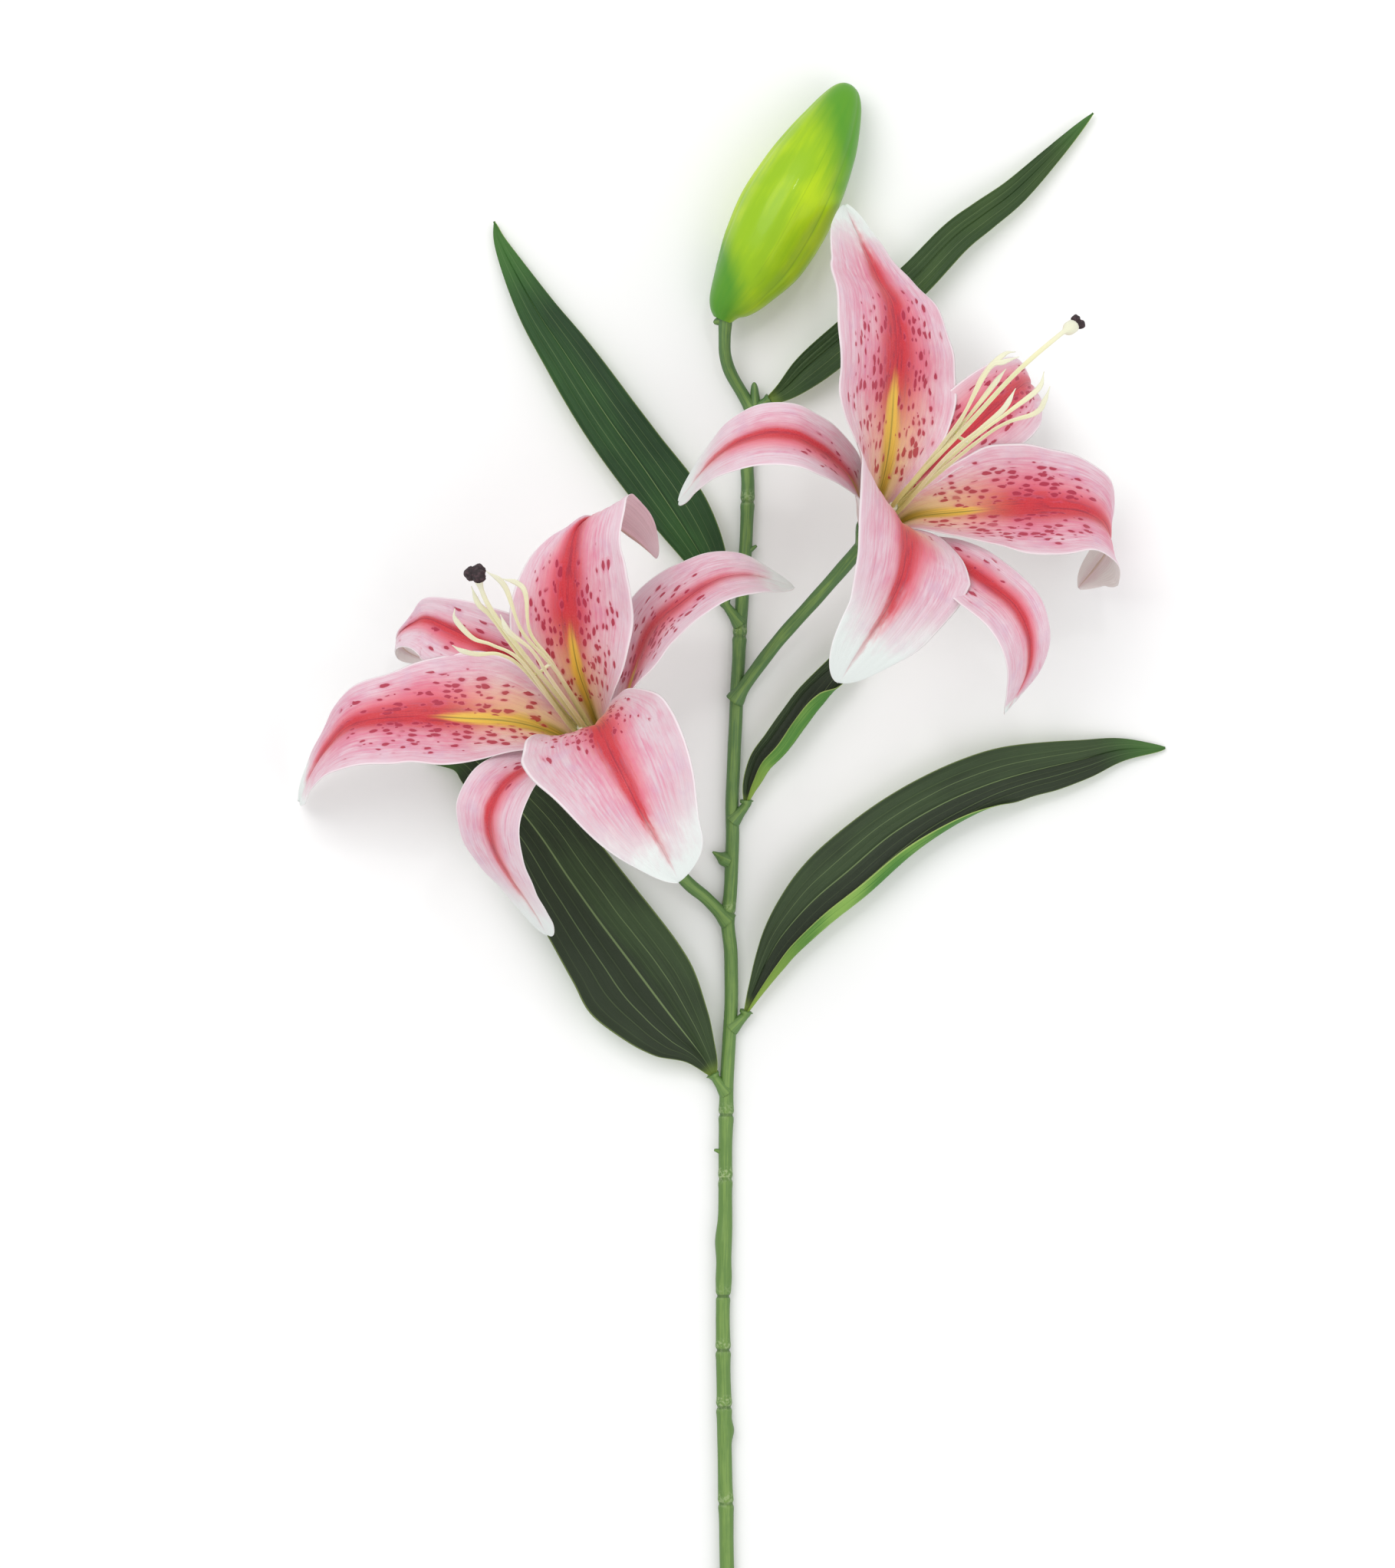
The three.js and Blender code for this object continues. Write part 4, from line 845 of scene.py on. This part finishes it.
velvet, dark = stamenPaint(), stigmaPaint()
for bloom in (leftBloom, rightBloom):
    makeStamens(bloom, velvet)
    makeStigma(bloom, dark)
print("stamens and stigmas made")


# Leaves

plainLeaf = {
    "foot": 0.9, "peak": 0.45, "rise": 0.8, "fall": 0.75, "groove": 0.6, "grooveWidth": 0.06,
    "wave": [[0, 0], [0.4, 0.5], [1, 0.6]], "waves": 2, "cup": [[0, 60], [0.12, 25], [1, 12]],
    "ruffle": 0, "ridges": 0.12, "ridgeCount": 6, "columns": 71,
}
leafLook = {
    "deep": "26321e", "lit": "384b2b", "fresh": "4a7c36", "vein": "7f9460", "underDeep": "477c30",
    "underLit": "82a94e", "underRib": "a6b656", "underRim": "a9bf6c", "foot": "8aa443", "rim": "7f9150",
    "freshFrom": 0.85,
    # darkSide: the half painted darker as shade, the half of the folded leaf turned from the light
    "darkSide": -1,  # the half that is darker: left -1, right +1, or 0
}
leaves = [
    dict(plainLeaf, name="leaf_upper_left", half=10, peak=0.42,
         left=[[0, 1], [0.08, 1.6], [0.2, 1.5], [0.4, 1.1], [1, 1]],
         points=[[-1.6, 124, 5.6], [-5.4, 132, 6.5], [-13.5, 146, 7], [-27.4, 167, 7], [-41.6, 187, 7],
                 [-55.7, 208.4, 6], [-66.5, 224.7, 5], [-77.6, 245.3, 3], [-80.7, 254.6, 2]],
         look=dict(leafLook, deep="1b381a", lit="2f5727", freshFrom=0.75, darkSide=0)),
    dict(plainLeaf, name="leaf_upper_right", half=6.6, peak=0.4, rise=0.7, fall=0.7,
         left=[[0, 1.5], [0.08, 1.7], [0.2, 1.4], [0.35, 1.08], [1, 1]],
         right=[[0, 1], [0.1, 1], [0.25, 0.85], [0.5, 0.85], [0.65, 0.9], [1, 1]],
         points=[[13, 193.2, 5], [18.5, 197, 6.5], [25.2, 203.5, 8], [33.6, 210.6, 8],
                 [49.3, 223.6, 8.5], [62.4, 234.4, 8.5], [76.3, 248.6, 8], [86.3, 256.3, 7],
                 [96.9, 264.3, 6], [109.4, 276.4, 4], [124.4, 291.7, 2]],
         look=dict(leafLook, deep="263f1c", lit="40592a", darkSide=0)),
    dict(plainLeaf, name="leaf_middle_right", half=6.2, peak=0.35, rise=0.6, fall=0.7,
         right=[[0, 0.5], [0.15, 0.38], [0.5, 0.36], [0.7, 0.62], [1, 1]],
         left=[[0, 1.2], [0.1, 1.9], [0.25, 2.05], [0.5, 2.3], [0.65, 1.5], [1, 1]],
         curlFrom=0.3,
         leftCurl=[[0, 150], [0.14, 195], [0.26, 178], [0.38, 200], [0.52, 165], [0.62, 60], [0.72, 0],
                   [1, 0]],
         points=[[5.4, 55.8, 4.8], [6.3, 63.1, 6], [9, 71, 7], [14.1, 78, 8], [19.8, 86.1, 8],
                 [26.1, 94.4, 8], [35.6, 103, 8], [46.7, 112.4, 7], [57.2, 125.6, 6]],
         look=leafLook),
    dict(plainLeaf, name="leaf_lower_right", half=11, peak=0.38, fall=0.5,
         right=[[0, 0.5], [0.1, 0.66], [0.2, 0.93], [0.33, 1.13], [0.45, 1.08], [0.55, 1.11],
                [0.68, 1.19], [0.78, 1.07], [0.88, 0.88], [1, 0.5]],
         left=[[0, 1.2], [0.12, 1.6], [0.3, 1.52], [0.42, 1.42], [0.52, 1.25], [0.6, 1.12], [0.66, 1],
               [0.72, 0.97], [0.78, 1.05], [0.84, 1], [0.9, 0.84], [1, 0.6]],
         curlFrom=0.42,
         leftCurl=[[0, 160], [0.1, 178], [0.3, 172], [0.42, 158], [0.52, 135], [0.6, 110], [0.66, 60],
                   [0.71, 0], [1, 0]],
         points=[[5.2, -16.2, 4.2], [8.3, -8, 6], [13, 2.5, 7], [18.5, 11.3, 7.5], [28.4, 22.3, 8],
                 [40.4, 32.5, 8], [55.3, 45, 8], [71.6, 54.8, 8], [87.3, 61.6, 8], [102.5, 66.3, 7],
                 [120.1, 70.5, 5], [134, 73.9, 2.5], [149.2, 74.5, 0.6]],
         look=leafLook),
    dict(plainLeaf, name="leaf_lower_left", half=18, peak=0.32, rise=0.5, fall=0.6, groove=1.3,
         grooveWidth=0.2,
         left=[[0, 0.45], [0.05, 0.58], [0.12, 0.78], [0.25, 0.96], [1, 1]],
         right=[[0, 0.35], [0.06, 0.52], [0.12, 0.92], [0.2, 1.1], [0.28, 1.2], [0.36, 1.1], [0.5, 1],
                [1, 1]],
         points=[[-5.4, -37.6, 4.4], [-10.5, -29.5, 7], [-21.7, -15.1, 8], [-32.9, -0.2, 8],
                 [-45.2, 16.1, 8], [-55.4, 30.5, 8], [-64.9, 44.6, 8], [-75.1, 57.4, 8],
                 [-84.5, 68, 6.5], [-92.5, 72.5, 4], [-104.5, 71, 1]],
         look=dict(leafLook, darkSide=1)),
]


# Dark green, one half painted darker as shade, with fine stripes, a pale midrib with a painted shadow line
# next to it, thin side veins that meet at both ends, a fresher tip, and a lighter underside that turns
# yellow-green at the foot.
def leafPaint(name, look, seed):
    paint, look = Paint(name), readLook(look)
    across, along, face = paint.parts("place")
    wide, far, _ = paint.parts("spread")
    edge = abs(across)
    upper = face.rise(-0.2, 0.2)
    cloud = paint.noise(paint.join(wide * 0.07 + seed * 3.3, far * 0.025, face), 1.0, 2.0, 0.5)
    stripe = paint.noise(paint.join(across * 42 + seed, far * 0.006, face), 1.0, 3.0, 0.65)
    grain = paint.noise(paint.join(wide * 1.4, far * 0.5, face), 1.0, 2.0)
    # painted shade: the shaded side's half is darkened
    green = cloud + (stripe - 0.5) * 0.5 - (across * look.darkSide).rise(-0.1, 0.15) * 0.32
    colour = paint.mix(green.rise(0.2, 0.75), look.deep, look.lit)
    colour = paint.mix(along.rise(look.freshFrom, 1.0) * 0.7, colour, look.fresh)
    rib = edge.rise(0.026, 0.01) * along.rise(0.99, 0.85)
    # a painted shadow line next to the midrib
    ribShadow = abs(across + 0.05).rise(0.045, 0.015) * along.rise(0.7, 0.3)
    colour = paint.mix(ribShadow * 0.5, colour, look.deep)
    sway = (cloud - 0.5) * 0.1
    lines = rib * 0.65
    for share, strength in ((0.22, 0.1), (0.4, 0.42), (0.62, 0.16), (0.82, 0.08)):
        lines = lines.most(abs(abs(edge + sway) - share).rise(0.014, 0.004) * strength)
    colour = paint.mix(lines, colour, look.vein)
    colour = paint.mix(along.rise(0.04, 0.0) * 0.6, colour, look.foot)
    colour = paint.mix(edge.rise(0.97, 0.99) * 0.6, colour, look.rim)
    back = paint.mix((stripe + (cloud - 0.5) * 2).rise(0.25, 0.8), look.underDeep, look.underLit)
    back = paint.mix(edge.rise(0.06, 0.01) * 0.6, back, look.underRib)
    back = paint.mix(along.rise(0.25, 0.02) * 0.8, back, look.foot)
    back = paint.mix(edge.rise(0.96, 0.99) * 0.8, back, look.underRim)
    colour = paint.mix(upper, back, colour)
    bumps = [(stripe, 0.4, 0.4), (lines, 0.3, -0.5), (grain, 0.1, 0.25)]
    return paint.finish(colour, 0.44 + grain * 0.16, bumps, Specular_IOR_Level=0.3)


for seed, leaf in enumerate(leaves, 1):
    run = np.subtract(leaf["points"][1], leaf["points"][0]) * [1, 1, 0]
    body = bladeBody({**leaf, "firstSide": np.cross([0, 0, 1], run)})
    name = leaf["name"]
    makePiece(name + "_blade", *body, leafPaint(name, leaf["look"], seed), "leaf", name)
print("leaves made")


# Bud

bud = {
    "axis": [[-2.6, 220.3, 13.2], [-0.7, 224.9, 13.8], [4.7, 232.6, 15], [11.8, 243.7, 15.8],
             [18.6, 256.5, 15.8], [25.3, 268.8, 15], [32.1, 281.5, 13.5], [37.3, 292.5, 11.5],
             [40.6, 300.8, 9.5]],
    "profile": [[0, 0.2], [0.06, 0.46], [0.16, 0.7], [0.3, 0.93], [0.45, 1], [0.6, 0.93], [0.75, 0.77],
                [0.85, 0.6], [0.93, 0.43], [0.975, 0.28], [0.993, 0.15], [1, 0.03]],
    "radius": 16.2, "lobes": 3, "groove": 0.8, "suture": 315,  # degrees round, 270 faces up
    "fineLine": 277, "rib": 0.004, "ribCount": 18, "rows": 150, "corners": 96,
    "deep": "459022", "base": "3f8a22", "mid": "93bd0c", "lit": "b4d203", "line": "5c8a1c", "dash": "6e9a1e",
}


# Radius = profile(share) x (1 - groove + rib), the groove a narrow dip between each two lobes.
def budReach(length):
    def reach(distance, angle):
        share = distance / length
        lobe = np.abs(np.sin(bud["lobes"] / 2 * (angle - math.radians(bud["suture"]))))
        depth = bud["groove"] / bud["radius"] * smoothRise(share, 0.05, 0.3)
        rib = bud["rib"] * np.cos(bud["ribCount"] * angle) * smoothRise(share, 0.05, 0.3)
        rib = rib * smoothRise(1 - share, 0.03, 0.3)
        return bud["radius"] * valueAt(bud["profile"], share) * (1 - depth * (1 - lobe) ** 3 + rib)

    return reach


# Yellow-green patches, deeper towards the tip and the stem, with a line along a seam and short dashes.
def budPaint():
    paint, look = Paint("bud_gloss"), readLook(bud)
    far, share, _ = paint.parts("place")
    east, down, _ = paint.parts("round")
    where = paint.node("ShaderNodeTexCoord", output="Object")
    cloud = paint.noise(where, 42.0, 2.0, 0.5)
    stroke = paint.noise(paint.join(east * 5.5, down * 5.5, far * 0.04), 1.0, 3.0, 0.6)
    colour = paint.mix((cloud + (stroke - 0.5) * 0.5).rise(0.35, 0.65), look.mid, look.lit)
    tip = share.rise(0.52, 0.97) + east * 0.5 * share.rise(0.35, 0.7) + (cloud - 0.5) * 1.1
    colour = paint.mix(tip.rise(0.1, 0.9) * 0.9, colour, look.deep)
    base = share.rise(0.34, 0.0) - east * 0.6 * share.rise(0.6, 0.1) + (cloud - 0.5) * 0.9
    colour = paint.mix(base.rise(0.15, 1.0) * 0.9, colour, look.base)

    # nearness to one line that runs from base to tip, 1 on it
    def onLine(degrees, width):
        turn = math.radians(degrees)
        facing = east * math.cos(turn) + down * math.sin(turn)
        return facing.rise(math.cos(math.radians(width)), math.cos(math.radians(width / 4)))

    suture = onLine(look.suture, 2.5) * share.rise(0.02, 0.2) * 0.4
    fine = onLine(look.fineLine, 1.5) * share.rise(0.1, 0.3) * share.rise(0.95, 0.7) * 0.35
    colour = paint.mix(suture.most(fine), colour, look.line)
    dashes = stroke.rise(0.6, 0.72) * 0.25 * share.rise(0.95, 0.8)
    colour = paint.mix(dashes, colour, look.dash)
    bumps = [(stroke, 0.3, 0.2)]
    return paint.finish(colour, 0.36 + stroke * 0.12, bumps, Coat_Weight=0.12, Coat_Roughness=0.06,
                        Specular_IOR_Level=0.3)


budLength = curveAt(bud["axis"], [0, 1])[1]
crowded = (1 - np.cos(np.linspace(0, np.pi, bud["rows"]))) / 2  # rings crowd towards the two ends
budBody = rodBody(bud["axis"], budReach(budLength), bud["rows"], bud["corners"], [1, 0, 0], crowded)
makePiece("bud_body", *budBody, budPaint(), "bud", "bud")
print("bud made")


# Stem

stem = {
    "rows": 1100, "corners": 24,
    "height": 2.77, "lowest": 0.02,  # mm over the floor: the centre line, and the least of any vertex
    "radius": [[0, 2.6], [45, 2.58], [75, 2.5], [491, 2.2]],
    "route": [[-0.7, -300], [-0.7, -270], [-0.7, -240], [-1, -205], [-2, -151.7], [-2.3, -115.8],
              [-1.5, -87.4], [-1.5, -63], [-0.9, -38.4], [0.4, -13.7], [0.4, 3.4], [-0.7, 15.4],
              [0.1, 24.9], [0.9, 41.9], [0.9, 59], [1.9, 81.8], [2.9, 102.3], [3.7, 118.3], [5.6, 145.9],
              [6.1, 163.7], [6.1, 173], [8.8, 191]],
    # each node: place, height of its two ring crests, depth of the notch between, swelling round them
    "nodes": [[85, 0.15, 0.3, 0.15], [116, 0.1, 0.3, 0.15], [149, 0.14, 0.4, 0.2], [168.5, 0.12, 0.45, 0.1],
              [187, 0.05, 0.5, 0], [193, 0, 0, 0.4], [227, 0.16, 0.2, 0], [249, 0.08, 0.4, 0.2],
              [318, 0.1, 0.3, 0.15], [413, 0.1, 0.3, 0.15], [459, 0.1, 0.3, 0.15]],
    "ringOffset": 1.7, "ringWidth": 1.1, "swellingWidth": 5, "notchWidth": 0.6,
    "bumps": [[206, 6, 1], [141, 3, -1]], "bumpHeight": 0.5,  # place, width, and side: left +1, right -1
    # light is the colour of the painted highlight along the top and underside, deep that of the painted
    # shade down the sides
    "light": "7a994a", "mid": "5c8039", "deep": "3b5f27", "north": "507440", "ring": "aebf8c",
    "cut": "33521f",
}
pedicels = [  # the left bloom's and the right bloom's
    [[-0.3, 15, 3.1], [-8, 23, 4.8], [-15, 29, 8], [-27, 43, 16], [-36.5, 60, 24.5]],
    [[1.6, 90.5, 3.1], [7, 98.5, 5.5], [16.8, 111.3, 11], [28.5, 124.3, 18], [38.5, 135.6, 24.2]],
]
pedicelForm = {"radius": [[0, 2.2], [1, 2.4]], "rows": 90}
offshoots = [
    # the bud's pedicel, the tiny bud, and the knob under the bud
    dict(points=[[8.6, 188.5, 3.2], [4.4, 195.4, 4.4], [0.2, 202.6, 7.2], [-1.6, 208.5, 10],
                 [-1.8, 214, 11.8], [-1.6, 219, 13], [-1.4, 222, 13.6]],
         radius=[[0, 2.1], [0.8, 2.1], [0.95, 2.35], [1, 2.35]], rows=70),
    dict(points=[[8.8, 189, 3.3], [8.6, 194, 4.2], [8.3, 199.4, 5]],
         radius=[[0, 1.85], [1, 1.295]], rows=30, close=0.95, power=8),
    dict(points=[[-2.2, 220.2, 12.9], [-3.8, 219.8, 12.7], [-5.6, 219.3, 12.4]],
         radius=1.6, rows=16, flare=0, close=0.96),
    # thorns: broad teeth
    dict(points=[[0.2, 35.6, 2.8], [-2.8, 37, 2.9], [-5.9, 38.9, 3.2]],
         radius=[[0, 2.6], [0.38, 2.5], [0.62, 1.4], [1, 0.3]], flare=0),
    dict(points=[[-1.3, -65, 3], [-3.4, -63.6, 3.2], [-5.3, -63, 3.6]],
         radius=[[0, 1.5], [1, 0.4]], flare=0),
    dict(points=[[5.2, 141, 3.1], [7.4, 142.4, 3.3], [9.2, 143.6, 3.6]],
         radius=[[0, 1.4], [1, 0.4]], flare=0),
]
stubRoots = {"leaf_upper_left": [3.6, 117, 3.2], "leaf_upper_right": [8.6, 189.5, 3.2],
             "leaf_middle_right": [0.9, 49.5, 3], "leaf_lower_right": [0.4, -21.5, 2.8],
             "leaf_lower_left": [-1, -43.5, 2.8]}
leafStub = {"root": 1.9, "neck": 1.35, "cup": 0.75, "cupFrom": 0.75, "cupTo": 0.97, "rows": 32,
            "back": 2.2, "over": 0.9, "barb": 2.6, "barbRoot": 1.6, "barbMiddle": 0.7,
            "barbRadius": [[0, 0.8], [1, 0.12]], "barbRows": 12, "barbCorners": 10}
receptacleForm = {"low": -14, "middle": -7, "top": -0.42, "length": 13.6, "radius": 2.4, "widening": 3.8,
                  "rib": 0.25, "grid": (24, 36)}


# Stem radius: a slow taper, two ring crests round a notch at every node, bumps on one side, and a
# faint unevenness; crests, notches, swellings and bumps are all exp(-(distance / width)^2).
def stemReach(distance, angle):
    def hump(off, width):
        return np.exp(-((off / width) ** 2))

    radius = valueAt(stem["radius"], distance)
    for place, crest, notch, swelling in stem["nodes"]:
        off = distance - place
        radius = radius + crest * hump(np.abs(off) - stem["ringOffset"], stem["ringWidth"])
        radius = radius + swelling * hump(off, stem["swellingWidth"]) - notch * hump(off, stem["notchWidth"])
    swell = 0
    for place, width, side in stem["bumps"]:
        swell = swell + stem["bumpHeight"] * hump(distance - place, width) * (1 + side * np.cos(angle))
    uneven = 0.05 * np.sin(distance / 7 + 2 * np.cos(angle)) + 0.04 * np.sin(distance / 3.1 + 3 * angle)
    return radius + swell + uneven


# Satin green: long strokes, painted highlight on top and beneath, painted shade on the sides, paler and
# mottled at the nodes.
def stemPaint():
    paint, look = Paint("stem_satin"), readLook(stem)
    far, _, _ = paint.parts("place")
    east, up, _ = paint.parts("round")
    where = paint.node("ShaderNodeTexCoord", output="Object")
    cloud = paint.noise(where, 90.0, 3.0, 0.6)
    stroke = paint.noise(paint.join(east * 4, up * 4, far * 0.07), 1.0, 3.0, 0.6)
    ridge = paint.noise(where, 700.0, 2.0)
    mottle = paint.noise(where, 1100.0, 2.0)
    _, north, _ = paint.split(where)
    colour = paint.mix((north + (cloud - 0.5) * 0.1).rise(-0.12, 0.12), look.mid, look.north)
    # painted light and shade: darker down the sides, lighter along the top and the underside, broken by long
    # strokes
    shade = abs(up) + (stroke - 0.5) * 1.2 + (cloud - 0.5) * 0.6
    colour = paint.mix(shade.rise(0.3, 0.0) * 0.8, colour, look.deep)
    colour = paint.mix(shade.rise(0.75, 1.15) * 0.75, colour, look.light)
    collar, cut = 0.0, 0.0
    for place, crest, notch, swelling in look.nodes:
        collar = abs(far - (place + 1.5)).rise(3.5, 0.8) * (crest * 3.5) + collar
        cut = abs(far - place).rise(0.8, 0.3) * (notch * 1.8) + cut
    colour = paint.mix(collar * mottle.rise(0.47, 0.6), colour, look.ring)
    colour = paint.mix(cut * 0.7, colour, look.cut)
    return paint.finish(colour, 0.4 + cloud * 0.2, [(stroke, 0.3, 0.35), (ridge, 0.1, 0.3)])


# A side branch: r = radius(share) sqrt(1 - close share^power), flared as 1 + flare exp(-(d / 3.2)^2)
# where it leaves the stem. The radius is a number, [share, radius] pairs, or a function of the share.
def branch(points, radius, rows=20, corners=20, flare=0.5, close=0, power=2):
    length = curveAt(points, [0, 1])[1]

    def reach(distance, angle):
        share = distance / length
        size = radius(share) if callable(radius) else valueAt(radius, share)
        size = size * np.sqrt(1 - close * share**power) * (1 + flare * np.exp(-((distance / 3.2) ** 2)))
        return size + 0.04 * np.sin(distance / 2.3 + 2 * angle)

    return rodBody(points, reach, rows, corners)


# what a bloom sits on: a cone that widens smoothly upwards, with six soft ribs
def receptacle(bloom):
    form = receptacleForm

    def reach(distance, angle):
        share = distance / form["length"]
        rib = form["rib"] * np.cos(6 * angle) * smoothRise(share, 0.3, 0.9)
        return form["radius"] + form["widening"] * smoothRise(share, 0.15, 1) + rib

    points = inBloom(bloom, [[0, form[key], 0] for key in ("low", "middle", "top")])
    return rodBody(points, reach, *form["grid"], bloomAxes(bloom)[2])


# a leaf's stub: it narrows, opens as a cup round the leaf's foot, and has a pointed barb on the outside
def stubBodies(leaf):
    form = leafStub
    foot, following = np.array(leaf["points"][:2], float)
    along = (following - foot) / np.linalg.norm(following - foot)
    end = foot + along * form["over"]
    outside = np.cross(along, [0, 0, 1]) * np.sign(along[0])

    def stub(share):
        cup = form["cup"] * smoothRise(share, form["cupFrom"], form["cupTo"])
        return form["root"] + (form["neck"] - form["root"]) * share + cup

    barb = [end - along * form["barbRoot"], end - along * form["barbMiddle"] + outside * form["barb"] / 2,
            end + outside * form["barb"]]
    return [branch([stubRoots[leaf["name"]], end - along * form["back"], end], stub, form["rows"]),
            branch(barb, form["barbRadius"], form["barbRows"], form["barbCorners"], flare=0)]


# All one body. Whatever would dip below the floor lies flat on it.
def makeStem():
    route = np.array([[x, y, stem["height"]] for x, y in stem["route"]])
    bodies = [rodBody(route, stemReach, stem["rows"], stem["corners"], [-1, 0, 0])]
    for bloom, points in zip((leftBloom, rightBloom), pedicels):
        end = inBloom(bloom, [0, receptacleForm["middle"], 0])[0]
        bodies += [branch([*points, end], **pedicelForm), receptacle(bloom)]
    bodies += [branch(**offshoot) for offshoot in offshoots]
    for leaf in leaves:
        bodies += stubBodies(leaf)
    vertices, faces, vectors = mergeBodies(bodies)
    vertices[:, 2] = np.maximum(vertices[:, 2], stem["lowest"])
    makePiece("stem_body", vertices, faces, vectors, stemPaint(), "stem", "main_stem")


makeStem()
print("stem made")


# Floor, light and camera

studio = {
    "floorColour": "f7f7f7", "floorReach": 6, "floorDrop": 0.0003, "worldStrength": 0.8,
    "aim": (0, 0.08, 0),
    # power in W, width in m, place
    "lights": {"key": (20, 1.6, (-0.9, 1.1, 2.2)), "fill": (10, 2.0, (1.4, -0.8, 1.8)),
               "glint": (1.2, 0.12, (0.25, 0.9, 1.6))},
}
view = {
    "height": 2.4,  # m above the floor
    "centre": (-0.01105, 0.0621),
    "shownHeight": 0.53144,  # m of the object from the image's lower to its upper edge
    "shownAt": 0.025,  # at this height above the floor
    "sensor": 36,
}


# a soft disk of light that looks at the aim
def areaLight(name, power, size, place):
    data = bpy.data.lights.new(name, "AREA")
    data.energy, data.size, data.shape = power, size, "DISK"
    light = bpy.data.objects.new(name, data)
    bpy.context.scene.collection.objects.link(light)
    light.location = place
    light.rotation_euler = (light.location - Vector(studio["aim"])).to_track_quat("Z", "Y").to_euler()


def makeStudio():
    world = bpy.data.worlds.new("soft_room")
    world.use_nodes = True
    background = world.node_tree.nodes["Background"]
    background.inputs["Color"].default_value = (1, 1, 1, 1)
    background.inputs["Strength"].default_value = studio["worldStrength"]
    bpy.context.scene.world = world
    for name, settings in studio["lights"].items():
        areaLight(name + "_light", *settings)
    corners = np.array([[-1, -1, 0], [1, -1, 0], [1, 1, 0], [-1, 1, 0]]) * studio["floorReach"]
    mesh = bpy.data.meshes.new("floor")
    mesh.from_pydata((corners - [0, 0, studio["floorDrop"]]).tolist(), [], [(0, 1, 2, 3)])
    floor = bpy.data.objects.new("floor", mesh)
    bpy.context.scene.collection.objects.link(floor)
    mesh.materials.append(Paint("floor_plain").finish(tint(studio["floorColour"]), 0.9))


# straight above, with the lens that shows shownHeight at the height shownAt
def makeCamera():
    data = bpy.data.cameras.new("camera")
    data.sensor_width = view["sensor"]
    data.lens = view["sensor"] * (view["height"] - view["shownAt"]) / view["shownHeight"]
    data.clip_end = 50
    camera = bpy.data.objects.new("camera", data)
    camera.location = (*view["centre"], view["height"])
    bpy.context.scene.collection.objects.link(camera)
    bpy.context.scene.camera = camera


makeStudio()
makeCamera()
bpy.context.scene.view_settings.view_transform = "Standard"
print("studio made")
